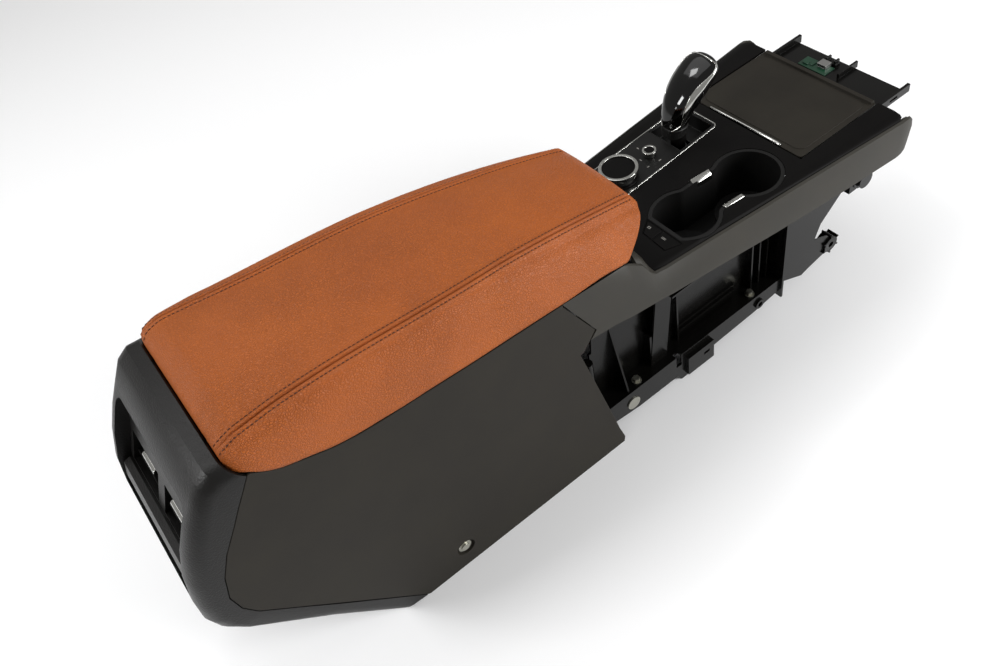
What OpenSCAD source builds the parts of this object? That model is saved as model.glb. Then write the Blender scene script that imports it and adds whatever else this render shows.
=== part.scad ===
// Vehicle centre console: armrest box, rear air outlets and front deck.
// X points to the passenger side, Y to the dashboard, Z up. Millimetres.

/* [Body] */
// Half width over the side panels
side_x = 106; // [100:1:112]
// Wall of the moulded trim
wall = 3; // [2.4:0.1:3.4]
// Height of the front deck above the floor
deck_z = 257; // [252:1:262]
// Gap between neighbouring trim pieces
gap = 0.8; // [0.6:0.1:1.2]
// Gap of a piece to the seat that carries it
seat = 0.2; // [0.1:0.05:0.3]

/* [Armrest] */
// Rear end of the lid
lid_rear_y = -412; // [-414:1:-410]
// Front end of the lid
lid_front_y = 78; // [74:1:80]
// Height of the seam at the rear end
lid_rear_z = 411; // [409:1:413]
// Crown of the pad between its seams
lid_crown = 7; // [4:1:10]
// Thickness of the pad over its carrier
pad_t = 12; // [10:1:13]
// Diameter of the hinge pin
pin_d = 6; // [5:0.5:7]
// Running clearance of pins and spindles
run_gap = 0.06; // [0.04:0.01:0.1]
// Depth of the storage box
box_depth = 160; // [120:5:175]

/* [Deck] */
// Diameter of a cup pocket
cup_d = 76; // [70:1:78]
// Depth of a cup pocket
cup_depth = 66; // [50:1:70]
// Diameter of the large rotary knob
knob_d = 49; // [44:1:50]
// Height of the large rotary knob
knob_h = 14; // [10:1:16]
// Diameter of the small rotary knob
small_knob_d = 18; // [15:1:20]
// Height of the selector lever over its pivot
lever_h = 152; // [145:1:156]
// Length of the sliding cover
cover_len = 134; // [124:2:134]
// Travel of a push button
button_travel = 1.5; // [1:0.1:2]

/* [Rear] */
// Lean of the rear face from vertical
rear_lean = 26; // [24:1:28]
// Width of one air outlet
vent_w = 68; // [60:1:70]
// Height of an air outlet
vent_h = 38; // [34:1:40]

/* [Hidden] */

$fn = 64;
e = 0.01;
inner_x = side_x - wall;

// Plain helpers
function mix(a, b, t) = a + (b - a) * t;
function flip(p) = [-p[0], p[1], p[2]];
function rev(v) = [for (i = [len(v) - 1:-1:0]) v[i]];

// Closed body through rings of equal point count. A folded ring runs out along
// one side of a thin wall and back along the other, so its ends are strips
module skin(rings, folded = false) {
  n = len(rings[0]);
  m = len(rings);
  h = floor(n / 2) - 2;
  z = (m - 1) * n;
  polyhedron(
    points = [for (r = rings) each r],
    faces = concat(
      folded ? [] : [[for (i = [0:n - 1]) i], [for (i = [n - 1:-1:0]) z + i]],
      folded ? [for (i = [0:h]) [i, i + 1, n - 1 - i]] : [],
      folded ? [for (i = [0:h]) [i + 1, n - 2 - i, n - 1 - i]] : [],
      folded ? [for (i = [0:h]) [z + i + 1, z + i, z + n - 1 - i]] : [],
      folded ? [for (i = [0:h]) [z + n - 2 - i, z + i + 1, z + n - 1 - i]] : [],
      [for (j = [0:m - 2]) for (i = [0:n - 1])
        [j * n + i, (j + 1) * n + i, (j + 1) * n + (i + 1) % n]],
      [for (j = [0:m - 2]) for (i = [0:n - 1])
        [j * n + i, (j + 1) * n + (i + 1) % n, j * n + (i + 1) % n]]),
    convexity = 12);
}

// Rectangle with round corners, given by its limits
module rounded(x0, x1, y0, y1, r) {
  translate([x0 + r, y0 + r]) circle(r);
  translate([x1 - r, y0 + r]) circle(r);
  translate([x0 + r, y1 - r]) circle(r);
  translate([x1 - r, y1 - r]) circle(r);
  translate([x0 + r, y0]) square([x1 - x0 - 2 * r, y1 - y0]);
  translate([x0, y0 + r]) square([x1 - x0, y1 - y0 - 2 * r]);
}

// Outline in the YZ plane, extruded along X from x0 to x1
module side_plate(x0, x1) {
  translate([x0, 0, 0]) rotate([90, 0, 90]) linear_extrude(x1 - x0) children();
}

// Outline in the XZ plane, extruded along Y from y0 to y1
module cross_plate(y0, y1) {
  translate([0, y1, 0]) rotate([90, 0, 0]) linear_extrude(y1 - y0) children();
}

// Round bar along X from x0 to x1
module x_bar(x0, x1, y, z, d) {
  translate([x0, y, z]) rotate([0, 90, 0]) cylinder(h = x1 - x0, d = d);
}

module both() {
  children();
  mirror([1, 0, 0]) children();
}

// Lid: half widths, heights and the hinge axis as the lid runs forward
hinge_y = lid_rear_y + 14;
hinge_z = lid_rear_z - 14;
// The tables of the lid are written for this length, and stretch to the real one
lid_table = 490;
lid_len = lid_front_y - lid_rear_y;
rear_shift = lid_rear_y + 412;
function lid_u(y) = (y - lid_rear_y) * lid_table / lid_len;
function lid_at(u) = lid_rear_y + u * lid_len / lid_table;
function seam_w(y) = side_x - lookup(lid_u(y), [[0, 21], [10, 18], [26, 18.3],
  [52, 20.1], [87, 22.6], [132, 24.2], [187, 24.8], [232, 25.8], [272, 28.2],
  [315, 32], [362, 35.8], [412, 40.5], [448, 44.3], [474, 47.5], [490, 49.5]]);
function edge_w(y) = side_x - lookup(lid_u(y), [[0, 14], [1, 11], [3, 7.5],
  [7, 4], [13, 1.5], [22, 0], [352, 0], [412, 3], [437, 6], [446, 9], [458, 14],
  [470, 20], [480, 26], [486, 32], [490, 40]]);
function seam_z(y) = lid_rear_z + lookup(lid_u(y), [[0, -14], [1, -8.8], [3, -5.3],
  [7, -1.9], [14, 1], [26, 3.4], [52, 3.5], [87, 1.4], [132, -2.2], [187, -7.8],
  [232, -13.2], [272, -18.9], [315, -25.9], [362, -35.7], [412, -48.3],
  [448, -58.5], [474, -66.5], [485, -70.5], [490, -74]]);
function edge_z(y) = lid_rear_z + lookup(lid_u(y), [[0, -23], [8, -27], [15, -31],
  [25, -40], [38, -49], [63, -59], [87, -68], [110, -73], [135, -76], [161, -79],
  [189, -81], [248, -86], [297, -89], [351, -93], [400, -97], [437, -106.5],
  [446, -110.5], [458, -103], [470, -95.5], [480, -87], [486, -81], [490, -77]]);
lid_y = [for (u = [0, 1, 3, 7, 13, 22, 38, 63, 87, 110, 145, 189, 235, 272,
  315, 362, 400, 437, 446, 458, 470, 480, 486, 490]) lid_at(u)];
// Point of the side face, t from 0 at the seam to 1 at the lower edge
side_bulge = 0.3;
function side_pt(y, t) = let(ws = seam_w(y), we = edge_w(y), zs = seam_z(y), zb = edge_z(y))
  [mix(mix(ws, we, t), ws + (we - ws) * sin(90 * t), side_bulge), y,
   mix(mix(zs, zb, t), zb + (zs - zb) * cos(90 * t), side_bulge)];
function crown_at(y) = lid_crown * min(1, lid_u(y) / 26, (lid_front_y - y + 8) / 20);
function top_pt(y, k) = [k * seam_w(y), y, seam_z(y) + crown_at(y) * (1 - k * k)];
function welt_pt(y, d, h) = [seam_w(y) + d, y, seam_z(y) + h * min(1, lid_u(y) / 5)];
function lid_half(y) = concat([for (t = [1:-0.2:0.2]) side_pt(y, t)],
  [welt_pt(y, 3, -1.6), welt_pt(y, 0.6, 1.3), welt_pt(y, -1.6, 0.9)],
  [for (k = [0.92, 0.6, 0.2]) top_pt(y, k)]);
function lid_ring(y) = concat(lid_half(y), [for (p = rev(lid_half(y))) flip(p)]);
// Inside of the pad: s is the distance kept from it
pad_side = 10;
core_y = [for (u = [16, 63, 135, 189, 272, 362, 437, 462]) lid_at(u)];
function core_half(y, s, base) = [[edge_w(y) - pad_side - s, y, edge_z(y) + base],
  [edge_w(y) - pad_side - s, y, edge_z(y) + 8], [seam_w(y) - 3 - s, y, seam_z(y) - pad_t - s]];
function core_ring(y, s, base) = concat(core_half(y, s, base),
  [for (p = rev(core_half(y, s, base))) flip(p)]);
module lid_core(s, base) {
  skin([for (y = rev(core_y))
    core_ring(y + (y == core_y[0] ? s : y == core_y[7] ? -s : 0), s, base)]);
}
ear_x = 60;
ear_t = 5;
knuckle_d = pin_d + 7;
ear_r = knuckle_d / 2 - 0.1;
// Room for the fixed ears while the lid turns
module ear_slots() {
  both() {
    translate([ear_x - ear_t / 2 - 1, lid_rear_y - 6, hinge_z - 70])
      cube([ear_t + 2, hinge_y - lid_rear_y + 7 + knuckle_d / 2, 70]);
    translate([ear_x - ear_t / 2 - 1, lid_rear_y - 6, hinge_z - 1])
      cube([ear_t + 2, hinge_y - lid_rear_y + 6, 2 + knuckle_d / 2]);
    x_bar(ear_x - ear_t / 2 - 1, ear_x + ear_t / 2 + 1, hinge_y, hinge_z, knuckle_d + 3);
  }
}
latch_y = lid_front_y - 42;
latch_z = lid_rear_z - 94;
latch_w = 40;
module latch_bay() {
  translate([-latch_w / 2 - 1, latch_y - 8, latch_z - 22])
    cube([latch_w + 2, 40, 27]);
}

module lid_pad() {
  color("sienna") difference() {
    skin([for (y = rev(lid_y)) lid_ring(y)]);
    lid_core(0, -20);
    ear_slots();
    both() x_bar(ear_x - 20, ear_x + 20, hinge_y, hinge_z, knuckle_d + 2);
    x_bar(-ear_x - 20, ear_x + 20, hinge_y, hinge_z, pin_d + 2);
    both() translate([ear_x - 18 - seat, hinge_y - 1, hinge_z - 30])
      cube([36 + 2 * seat, 15 + seat, 29 + knuckle_d / 2 + seat]);
    latch_bay();
  }
}

module lid_carrier() {
  color("dimgray") difference() {
    union() {
      difference() {
        lid_core(seat, 1);
        lid_core(seat + wall, 4);
        translate([0, 0, wall]) lid_core(seat + wall, 4);
      }
      intersection() {
        lid_core(seat, 1);
        translate([-latch_w / 2 - 5, latch_y - 12, latch_z - 40]) cube([latch_w + 10, 60, 80]);
      }
      intersection() {
        both() x_bar(ear_x - 18, ear_x + 18, hinge_y, hinge_z, knuckle_d);
        translate([-side_x, lid_rear_y, hinge_z - 40]) cube([2 * side_x, 60, 80]);
      }
      both() translate([ear_x - 18, hinge_y, hinge_z - 16])
        cube([36, 14, 16 + knuckle_d / 2 - 1]);
    }
    ear_slots();
    latch_bay();
    x_bar(-ear_x - 19, ear_x + 19, hinge_y, hinge_z, pin_d + 2 * run_gap);
    x_bar(-latch_w / 2 - 5, latch_w / 2 + 5, latch_y, latch_z, 4 + 2 * run_gap);
  }
}

module lid_latch() {
  color("dimgray") difference() {
    union() {
      x_bar(-latch_w / 2, latch_w / 2, latch_y, latch_z, 8);
      side_plate(-latch_w / 2, latch_w / 2)
        polygon([[latch_y, latch_z - 4], [latch_y + 16, latch_z - 7],
          [latch_y + 19, latch_z - 3], [latch_y + 16, latch_z - 1], [latch_y, latch_z + 1]]);
      side_plate(-7, 7)
        polygon([[latch_y - 2, latch_z], [latch_y + 2, latch_z],
          [latch_y + 2, latch_z - 21], [latch_y - 4, latch_z - 21], [latch_y - 2, latch_z - 17]]);
    }
    x_bar(-latch_w / 2 - 1, latch_w / 2 + 1, latch_y, latch_z, 4 + 2 * run_gap);
  }
}

module latch_pin() {
  color("silver") x_bar(-latch_w / 2 - 4, latch_w / 2 + 4, latch_y, latch_z, 4);
}

// Storage box under the lid, in the slope of its rim
rim_lean = 5.9 * lid_table / lid_len;
rim_y = lid_front_y - 378;
rim_rear = lid_rear_y + 26 - rim_y;
box_rear = rim_rear + 48;
rim_z = lid_rear_z - 69.11 + rim_rear * tan(rim_lean);
module on_rim() {
  translate([0, rim_y, rim_z]) rotate([-rim_lean, 0, 0]) children();
}
box_x = 78;
module armrest_box() {
  color("gray") difference() {
    union() {
      on_rim() {
        difference() {
          translate([0, 0, -wall]) linear_extrude(wall)
            union() {
              rounded(-inner_x + seat, inner_x - seat, rim_rear, 235, 6);
              rounded(-95, 95, 200, 345, 6);
            }
          translate([0, 0, -wall - 1]) linear_extrude(wall + 2)
            rounded(-box_x, box_x, box_rear, 282, 12);
        }
        difference() {
          translate([0, 0, -box_depth - wall]) linear_extrude(box_depth + wall)
            rounded(-box_x - wall, box_x + wall, box_rear - wall, 282 + wall, 12 + wall);
          translate([0, 0, -box_depth]) linear_extrude(box_depth + 1)
            rounded(-box_x, box_x, box_rear, 282, 12);
        }
      }
      // Skirts of the rim along the side panels
      on_rim() both() translate([inner_x - seat - wall, rim_rear + 16, -24])
        cube([wall, 214 - rim_rear, 24]);
    }
    // Slot for the latch hook
    translate([-9, latch_y - 8, latch_z - 30]) cube([18, 30, 26]);
  }
}

module box_mat() {
  color("black") on_rim() translate([0, 0, -box_depth]) linear_extrude(2)
    rounded(-box_x + 1, box_x - 1, box_rear + 1, 281, 11);
}

module hinge_bracket() {
  color("darkgray") difference() {
    union() {
      on_rim() translate([-ear_x - 14, rim_rear + 2, 0]) cube([2 * ear_x + 28, 26, 3]);
      both() side_plate(ear_x - ear_t / 2, ear_x + ear_t / 2)
        polygon([[hinge_y - ear_r, hinge_z], [hinge_y - ear_r, hinge_z - 20],
          [hinge_y + 4, hinge_z - 52], [hinge_y + 26, hinge_z - 55],
          [hinge_y + 24, hinge_z - 50], [hinge_y + ear_r, hinge_z - 24],
          [hinge_y + ear_r, hinge_z]]);
      both() x_bar(ear_x - ear_t / 2, ear_x + ear_t / 2, hinge_y, hinge_z, knuckle_d);
    }
    x_bar(-ear_x - 20, ear_x + 20, hinge_y, hinge_z, pin_d + 0.02);
  }
}

module hinge_pin() {
  color("silver") x_bar(-ear_x - 17, ear_x + 17, hinge_y, hinge_z, pin_d);
}

// Side panels: outline seen from the passenger side
rear_edge = [[-402, 379], [-412, 365], [-424, 349], [-435, 333], [-446, 318],
  [-457, 303], [-472, 275], [-481, 244], [-479, 218], [-470, 196], [-440, 157],
  [-403, 108], [-320, 2]];
function moved_back(list) = [for (p = list) [p[0] + rear_shift, p[1]]];
panel_rear = moved_back(rear_edge);
panel_outline = concat(
  [[-317 + rear_shift, 0], [-6, 0], [-4, 9], [-11, 36], [-16, 62], [-50, 222], [-45, 223],
   [-26, 246], [-61, 312]],
  [for (u = [351, 297, 248, 189, 135, 110, 87, 63, 50, 38, 25, 14])
    [lid_at(u), edge_z(lid_at(u)) - 2.5]],
  [for (p = panel_rear) [p[0] + gap, p[1]]]);
bolt_y = -254;
bolt_z = 36;
module side_panel() {
  difference() {
    union() {
      side_plate(inner_x, side_x) polygon(panel_outline);
      // Stiffening lips on the inside
      side_plate(inner_x - 5, inner_x + e)
        polygon([[-300, 62], [-30, 62], [-30, 65], [-300, 65]]);
      x_bar(inner_x - 4, inner_x + e, bolt_y, bolt_z, 30);
    }
    // Dished seat of the fixing bolt
    x_bar(side_x - 4, side_x + 1, bolt_y, bolt_z, 24);
    x_bar(inner_x - 8, side_x, bolt_y, bolt_z, 8);
  }
}
module side_panel_right() { color("darkslategray") side_panel(); }
module side_panel_left() { color("darkslategray") mirror([1, 0, 0]) side_panel(); }

module panel_bolts() {
  color("silver") both() {
    x_bar(side_x - 4, side_x - 2.6, bolt_y, bolt_z, 18);
    x_bar(side_x - 2.6 - e, side_x - 0.4, bolt_y, bolt_z, 11);
    x_bar(inner_x - 12, side_x - 4 + e, bolt_y, bolt_z, 7.8);
  }
}

// Rear end cap: outer path and the line where it meets the side panels
cap_line = [[-415, 397], [-428, 399], [-441, 391], [-455, 371], [-470, 349],
  [-486, 321], [-500, 288], [-509, 250], [-512, 224], [-508, 204], [-497, 188],
  [-423, 90], [-358, 6]];
cap_outer = moved_back(cap_line);
cap_r = 18;
function cap_at(i, f) = [mix(cap_outer[i][0], panel_rear[i][0], f),
  mix(cap_outer[i][1], panel_rear[i][1], f)];
function cap_side(i, t, r) = let(d = norm(cap_outer[i] - panel_rear[i]))
  concat([let(p = cap_at(i, 1)) [side_x - t, p[0], p[1]]],
    [for (a = [0:18:90]) let(p = cap_at(i, (t + r * (1 - sin(a))) / d))
      [side_x - t - r * (1 - cos(a)), p[0], p[1]]]);
function cap_r_at(i) = min(cap_r, norm(cap_outer[i] - panel_rear[i]) - 2);
function cap_outside(i) = let(o = cap_side(i, 0, cap_r_at(i)))
  concat(o, [for (p = rev(o)) flip(p)]);
function cap_inside(i) = let(n = cap_side(i, wall, cap_r_at(i) - wall + 0.5))
  concat([for (p = n) flip(p)], rev(n));
rear_y = lid_rear_y - 43;
rear_z = lid_rear_z - 48;
open_w = 84;
open_h = 124;
module on_rear() {
  translate([0, rear_y, rear_z]) rotate([90 - rear_lean, 0, 0]) children();
}
module opening(d, z0, z1) {
  on_rear() translate([0, 0, z0]) linear_extrude(z1 - z0)
    rounded(-open_w - d, open_w + d, -open_h - d, d, 12 + d);
}
module rear_bezel() {
  color("#303030") difference() {
    union() {
      skin([for (i = [0:len(cap_outer) - 1]) concat(cap_outside(i), cap_inside(i))], true);
      // Collar of the recess
      intersection() {
        skin([for (i = [0:len(cap_outer) - 1]) cap_outside(i)]);
        opening(2.5, -12, 30);
      }
      // Tongues behind the side panels
      both() side_plate(inner_x - seat - 2, inner_x - seat)
        polygon(concat([for (p = panel_rear) [p[0] - 5, p[1]]],
          [for (p = rev(panel_rear)) [p[0] + 9, p[1] + (p[1] > 300 ? -9 : 0)]]));
      both() side_plate(inner_x - seat - 1, inner_x + 1)
        polygon(concat([for (p = panel_rear) [p[0] - 5, p[1]]],
          [for (p = rev(panel_rear)) [p[0] - 1, p[1]]]));
    }
    opening(0, -60, 60);
  }
}

// Air outlets in the recess of the rear face
vane_z = -17;
vane_dy = 9;
vent_mid = -65;
vent_x0 = 8;
vane_pin = 2.4;
module sleeve(d, z0, z1) {
  translate([vent_x0 - d, vent_mid - vent_h / 2 - d, z0])
    cube([vent_w + 2 * d, vent_h + 2 * d, z1 - z0]);
}
module vent_insert() {
  color("#383838") difference() {
    union() {
      opening(-seat, -9, -6);
      opening(2.4, -15.5, -12.2);
      opening(-seat, -15, -8);
      on_rear() {
        both() sleeve(2, -34, -7);
        // Lower lip of the recess
        side_plate(-open_w + 3, open_w - 3)
          polygon([[vent_mid - 20, -8], [vent_mid - 20, -3], [vent_mid - 25, 3],
            [vent_mid - 42, 1], [vent_mid - 46, -8]]);
      }
    }
    difference() {
      opening(-seat - 2.5, -20, -9.1);
      on_rear() both() sleeve(2, -34, -7);
    }
    on_rear() both() {
      sleeve(0, -40, 10);
      for (s = [-1, 1]) x_bar(vent_x0 - 2.1, vent_x0 + vent_w + 2.1, vent_mid + s * vane_dy,
        vane_z, vane_pin + 2 * run_gap);
    }
  }
}
module vane(s) {
  on_rear() difference() {
    union() {
      translate([vent_x0 + 0.5, vent_mid + s * vane_dy - 1, vane_z - 8])
        cube([vent_w - 1, 2, 14]);
      x_bar(vent_x0 + 0.5, vent_x0 + vent_w - 0.5, vent_mid + s * vane_dy, vane_z + 6, 2);
      x_bar(vent_x0 - 1.8, vent_x0 + vent_w + 1.8, vent_mid + s * vane_dy, vane_z, vane_pin);
      x_bar(vent_x0 + 0.5, vent_x0 + vent_w - 0.5, vent_mid + s * vane_dy, vane_z, 3.4);
    }
  }
}
module vane_right_upper() { color("#222222") vane(1); }
module vane_right_lower() { color("#222222") vane(-1); }
module vane_left_upper() { color("#222222") mirror([1, 0, 0]) vane(1); }
module vane_left_lower() { color("#222222") mirror([1, 0, 0]) vane(-1); }
// Bright finger tab on the nose of the upper vane
module vane_tab(x0, x1) {
  color("silver") on_rear() difference() {
    side_plate(x0, x1) translate([vent_mid + vane_dy, vane_z + 8]) {
      circle(3.6);
      translate([-3.6, -4]) square([7.2, 4]);
    }
    translate([x0 - 1, vent_mid + vane_dy - 1.02, vane_z]) cube([x1 - x0 + 2, 2.04, 6]);
    x_bar(x0 - 1, x1 + 1, vent_mid + vane_dy, vane_z + 6, 2.04);
  }
}
module vane_tab_right() { vane_tab(23, 56); }
module vane_tab_left() { vane_tab(-50, -20); }

module air_duct() {
  color("#2a2a2a") difference() {
    union() {
      on_rear() translate([-80, vent_mid - 24, -62]) cube([160, 48, 30]);
      side_plate(-42, 42) polygon(concat([[-12, 24.2], [-12, 62]], moved_back([[-330, 62],
        [-420, 168], [-436, 205], [-436, 262], [-463, 262], [-466, 192], [-450, 152],
        [-350, 24.2]])));
    }
    on_rear() translate([-78, vent_mid - 22, -60]) cube([156, 44, 26]);
    side_plate(-40, 40) polygon(concat([[-11, 26.2], [-11, 60]], moved_back([[-331, 60],
      [-422, 167], [-438, 204], [-438, 275], [-461, 275], [-464, 193], [-448, 153],
      [-349, 26.2]])));
    on_rear() both() sleeve(2 + seat, -40, 0);
  }
}

// Surround of the deck: both skirts and the step under the lid
function skirt_w(y) = lookup(y, [[-62, 105], [0, 102], [40, 98], [85, 97], [131, 100],
  [228, 109], [276, 113], [440, 128], [466, 128]]);
edge_drop = 4;
rise = lid_rear_z - deck_z - 154;
function skirt_z(y) = deck_z + lookup(y, [[-62, 59], [0, 50], [25, 45], [34, 41],
  [50, 28], [60, 10], [68, 1], [84, -3], [100, -edge_drop], [440, -edge_drop]])
  + rise * lookup(y, [[34, 1], [68, 0]]);
function skirt_foot_w(y) = lookup(y, [[-62, 106], [-20, 107], [50, 110], [150, 114],
  [250, 119], [350, 126], [440, 132], [460, 131]]);
function skirt_foot_z(y) = deck_z - lookup(y, [[-62, 22], [-15, 22], [25, 30], [70, 35],
  [91, 39], [150, 44], [246, 54], [350, 58], [440, 59], [450, 59],
  [458, 57], [463, 51], [466, 42]]);
skirt_y = [-62, -30, 0, 25, 34, 42, 50, 60, 68, 84, 131, 180, 228, 276, 350, 440, 450,
  458, 463, 466];
lip_z = deck_z - edge_drop - 0.6 * wall - seat;
function skirt_end(y) = pow(max(0, y - 450), 2);
function skirt_ring(y) = let(xt = skirt_w(y) - skirt_end(y) / 60,
  zt = skirt_z(y) - skirt_end(y) / 20, xb = skirt_foot_w(y) - skirt_end(y) / 60,
  zb = skirt_foot_z(y),
  o = max(0, min(3, (y + 20) / 30)), f = min(4, 2 + (y + 62) / 16),
  zl = min(zt - wall, y > 62 ? lip_z : zt))
  [[xt, y, zt - 0.7], [xt + 0.4, y, zt], [xt + 0.6 + o, y, zt - 1.6],
   [mix(xt + o, xb, 0.45) + 1.5, y, mix(zt, zb, 0.35)], [xb, y, mix(zt, zb, 0.85)],
   [xb - 0.5, y, zb], [xb - wall + 0.4, y, zb - 0.3], [xb - wall, y, mix(zt, zb, 0.84)],
   [mix(xt + o, xb, 0.45) + 1.5 - wall, y, mix(zt, zb, 0.36)],
   [xt - 0.2, y, zl - 2.5], [xt - f, y, zl - 2.5], [xt - f, y, zl], [xt, y, zl]];
module skirt() {
  difference() {
    skin([for (y = skirt_y) skirt_ring(y)]);
    // Seam to the side panel
    translate([80, 0, 0]) side_plate(0, 60) polygon([[-90, 340], [-64, 340], [-60.2, 314],
      [-25.2, 246], [-44.2, 222], [-90, 200]]);
    // Cut-out in the lower edge
    translate([90, 130, deck_z - 60]) cube([50, 23, 16]);
  }
}
// Step that climbs from the deck to the rim of the storage box
step_h = 37.5 + rise;
step_pts = [[46.5, step_h], [53, step_h * 0.9], [59, step_h * 0.67], [64, step_h * 0.32], [69, 0.5]];
function step_line(k) = concat([for (p = step_pts) [p[0], deck_z + k * p[1]]],
  [[69.2, lip_z - 0.2], [76, lip_z - 0.2], [76, lip_z - 2.3], [67, lip_z - 2.3]],
  [for (p = rev(step_pts)) [p[0] - 2.6, deck_z + k * p[1] - 3]]);
// The end rings lean out with the wall of the skirt that they end in
step_end = 98.8;
function step_lean(x, p) = abs(x) < step_end ? x
  : sign(x) * (step_end + 0.3 * (skirt_z(p[0]) - p[1]));
function step_ring(x, k) = [for (p = step_line(k)) [step_lean(x, p), p[0], p[1]]];
step_x = [[-step_end, 0.36], [-97, 0.6], [-94, 0.8], [-89, 0.94], [-80, 1],
  [80, 1], [89, 0.94], [94, 0.8], [97, 0.6], [step_end, 0.36]];
module deck_surround() {
  color("#333333") {
    both() skirt();
    skin([for (s = rev(step_x)) step_ring(s[0], s[1])]);
  }
}

// Deck panel with its openings
deck_y0 = 70;
deck_y1 = 447;
deck_st = [deck_y0, 84, 131, 228, 276, 350, 440, deck_y1];
function deck_in(y) = y < 84 ? (84 - y) * (84 - y) / 56 : y > 440 ? 3 : 0;
function deck_half(y, t) = let(w = skirt_w(y) - gap - deck_in(y))
  [[w - t * 0.7, y, deck_z - edge_drop - t * 0.6], [w - 3, y, deck_z - 1.6 - t], [w - 12, y, deck_z - t]];
function deck_ring(y) = concat(deck_half(y, 0), [for (p = rev(deck_half(y, 0))) flip(p)],
  [for (p = deck_half(y, wall)) flip(p)], rev(deck_half(y, wall)));
panel_pts = [[-76.5, 95], [-15, 95], [-28.5, 292], [-88, 292]];
module panel_shape(d) {
  difference() {
    offset(r = 6 + d) offset(delta = -6) polygon(panel_pts);
  }
}
cup_x = 57;
cup_y1 = 155;
cup_y2 = 253;
cup_flat = 126;
module rear_cup(d) {
  difference() {
    translate([cup_x, cup_y1]) circle(d = cup_d + 2 * d);
    translate([cup_x - 60, cup_flat - d - 60]) square([120, 60]);
  }
}
// Straight waist between the cups, with round shoulders of this radius
waist_x = [27, 79];
shoulder_r = 14;
function shoulder(i, x, y, s) = let(w = waist_x[i] + (i == 0 ? -1 : 1) * shoulder_r)
  [w, y + s * sqrt(pow(cup_d / 2 + shoulder_r, 2) - pow(w - x, 2))];
module waist(i, d) {
  low = shoulder(i, cup_x, cup_y1, 1);
  high = shoulder(i, cup_x + 3, cup_y2, -1);
  edge = waist_x[i] + (i == 0 ? -d : d);
  difference() {
    polygon([[cup_x, cup_y1], low, [edge, low[1]], [edge, high[1]], high,
      [cup_x + 3, cup_y2]]);
    translate(low) circle(shoulder_r - d);
    translate(high) circle(shoulder_r - d);
  }
}
module cup_shape(d) {
  rear_cup(d);
  translate([cup_x + 3, cup_y2]) circle(d = cup_d + 2 * d);
  waist(0, d);
  waist(1, d);
}
cup_rim = 5;
switch_pts = [[31, 119.5], [44, 99.5], [83, 97], [90.5, 119.5]];
cover_x = 88;
cover_y0 = 313;
cover_lip = cover_y0 + cover_len;
module top_bezel() {
  color("#2e2e2e") difference() {
    skin([for (y = rev(deck_st)) deck_ring(y)], true);
    translate([0, 0, deck_z - 30]) linear_extrude(60) {
      panel_shape(1.8);
      cup_shape(cup_rim);
      polygon(switch_pts);
      translate([-cover_x - 2, cover_y0 - 3]) square([2 * cover_x + 4, 200]);
    }
    for (p = trim_at) trim_body(p, 0.1);
  }
}
panel_t = 2.4;
knob_x = -46.5;
knob_y = 146;
small_x = -48.6;
small_y = 198;
lever_x = -50;
lever_y = 248;
lever_z = deck_z - 52;
well_y0 = 228;
// Tray at the foot of the lever, as wide as the panel
module well_shape(d) {
  intersection() {
    panel_shape(d - 2);
    translate([-120, well_y0 - d]) square([120, 100]);
  }
}
spindle_d = 8;
small_spindle_d = 5;
module shifter_panel() {
  color("#111111") difference() {
    translate([0, 0, deck_z - panel_t + 0.2]) linear_extrude(panel_t) panel_shape(0);
    translate([knob_x, knob_y, 0]) cylinder(h = 400, d = spindle_d + 4);
    translate([small_x, small_y, 0]) cylinder(h = 400, d = small_spindle_d + 4);
    translate([0, 0, deck_z - 20]) linear_extrude(40) well_shape(0);
  }
}
module panel_trim() {
  color("silver") translate([0, 0, deck_z - panel_t + 0.2]) linear_extrude(panel_t + 0.5)
    difference() {
      panel_shape(1.7);
      panel_shape(0.1);
    }
}
// Sunken tray around the foot of the lever
module shifter_well() {
  color("#181818") difference() {
    translate([0, 0, deck_z - 22]) linear_extrude(22) well_shape(-seat);
    translate([0, 0, deck_z - 20]) linear_extrude(40) well_shape(-2);
    translate([lever_x - 12, lever_y - 16, deck_z - 30]) cube([24, 33, 30]);
  }
}
shelf_t = 2.6;
shelf_z = deck_z - wall - seat - shelf_t;
cheek = 20;
module shifter_housing() {
  color("#252525") difference() {
    union() {
      translate([0, 0, shelf_z]) linear_extrude(shelf_t) panel_shape(8);
      translate([0, 0, shelf_z]) linear_extrude(deck_z - panel_t - shelf_z) panel_shape(1.5);
      both_sides(lever_x) translate([cheek, lever_y - 24, lever_z - 14])
        cube([4, 48, shelf_z - lever_z + 15]);
      translate([lever_x - cheek - 4, lever_y - 24, lever_z - 18]) cube([2 * cheek + 8, 48, 4]);
      translate([knob_x - 22, knob_y - 22, shelf_z - 20]) cube([44, 44, 21]);
      translate([small_x - 13, small_y - 13, shelf_z - 16]) cube([26, 26, 17]);
    }
    translate([0, 0, shelf_z - 30]) linear_extrude(60) well_shape(0);
    x_bar(lever_x - 40, lever_x + 40, lever_y, lever_z, 8 + 2 * run_gap);
    translate([knob_x, knob_y, 0]) cylinder(h = 400, d = spindle_d + 2 * run_gap);
    translate([small_x, small_y, 0]) cylinder(h = 400, d = small_spindle_d + 2 * run_gap);
  }
}
module both_sides(x) {
  for (s = [-1, 1]) translate([x, 0, 0]) mirror([s < 0 ? 1 : 0, 0, 0]) children();
}

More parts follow.
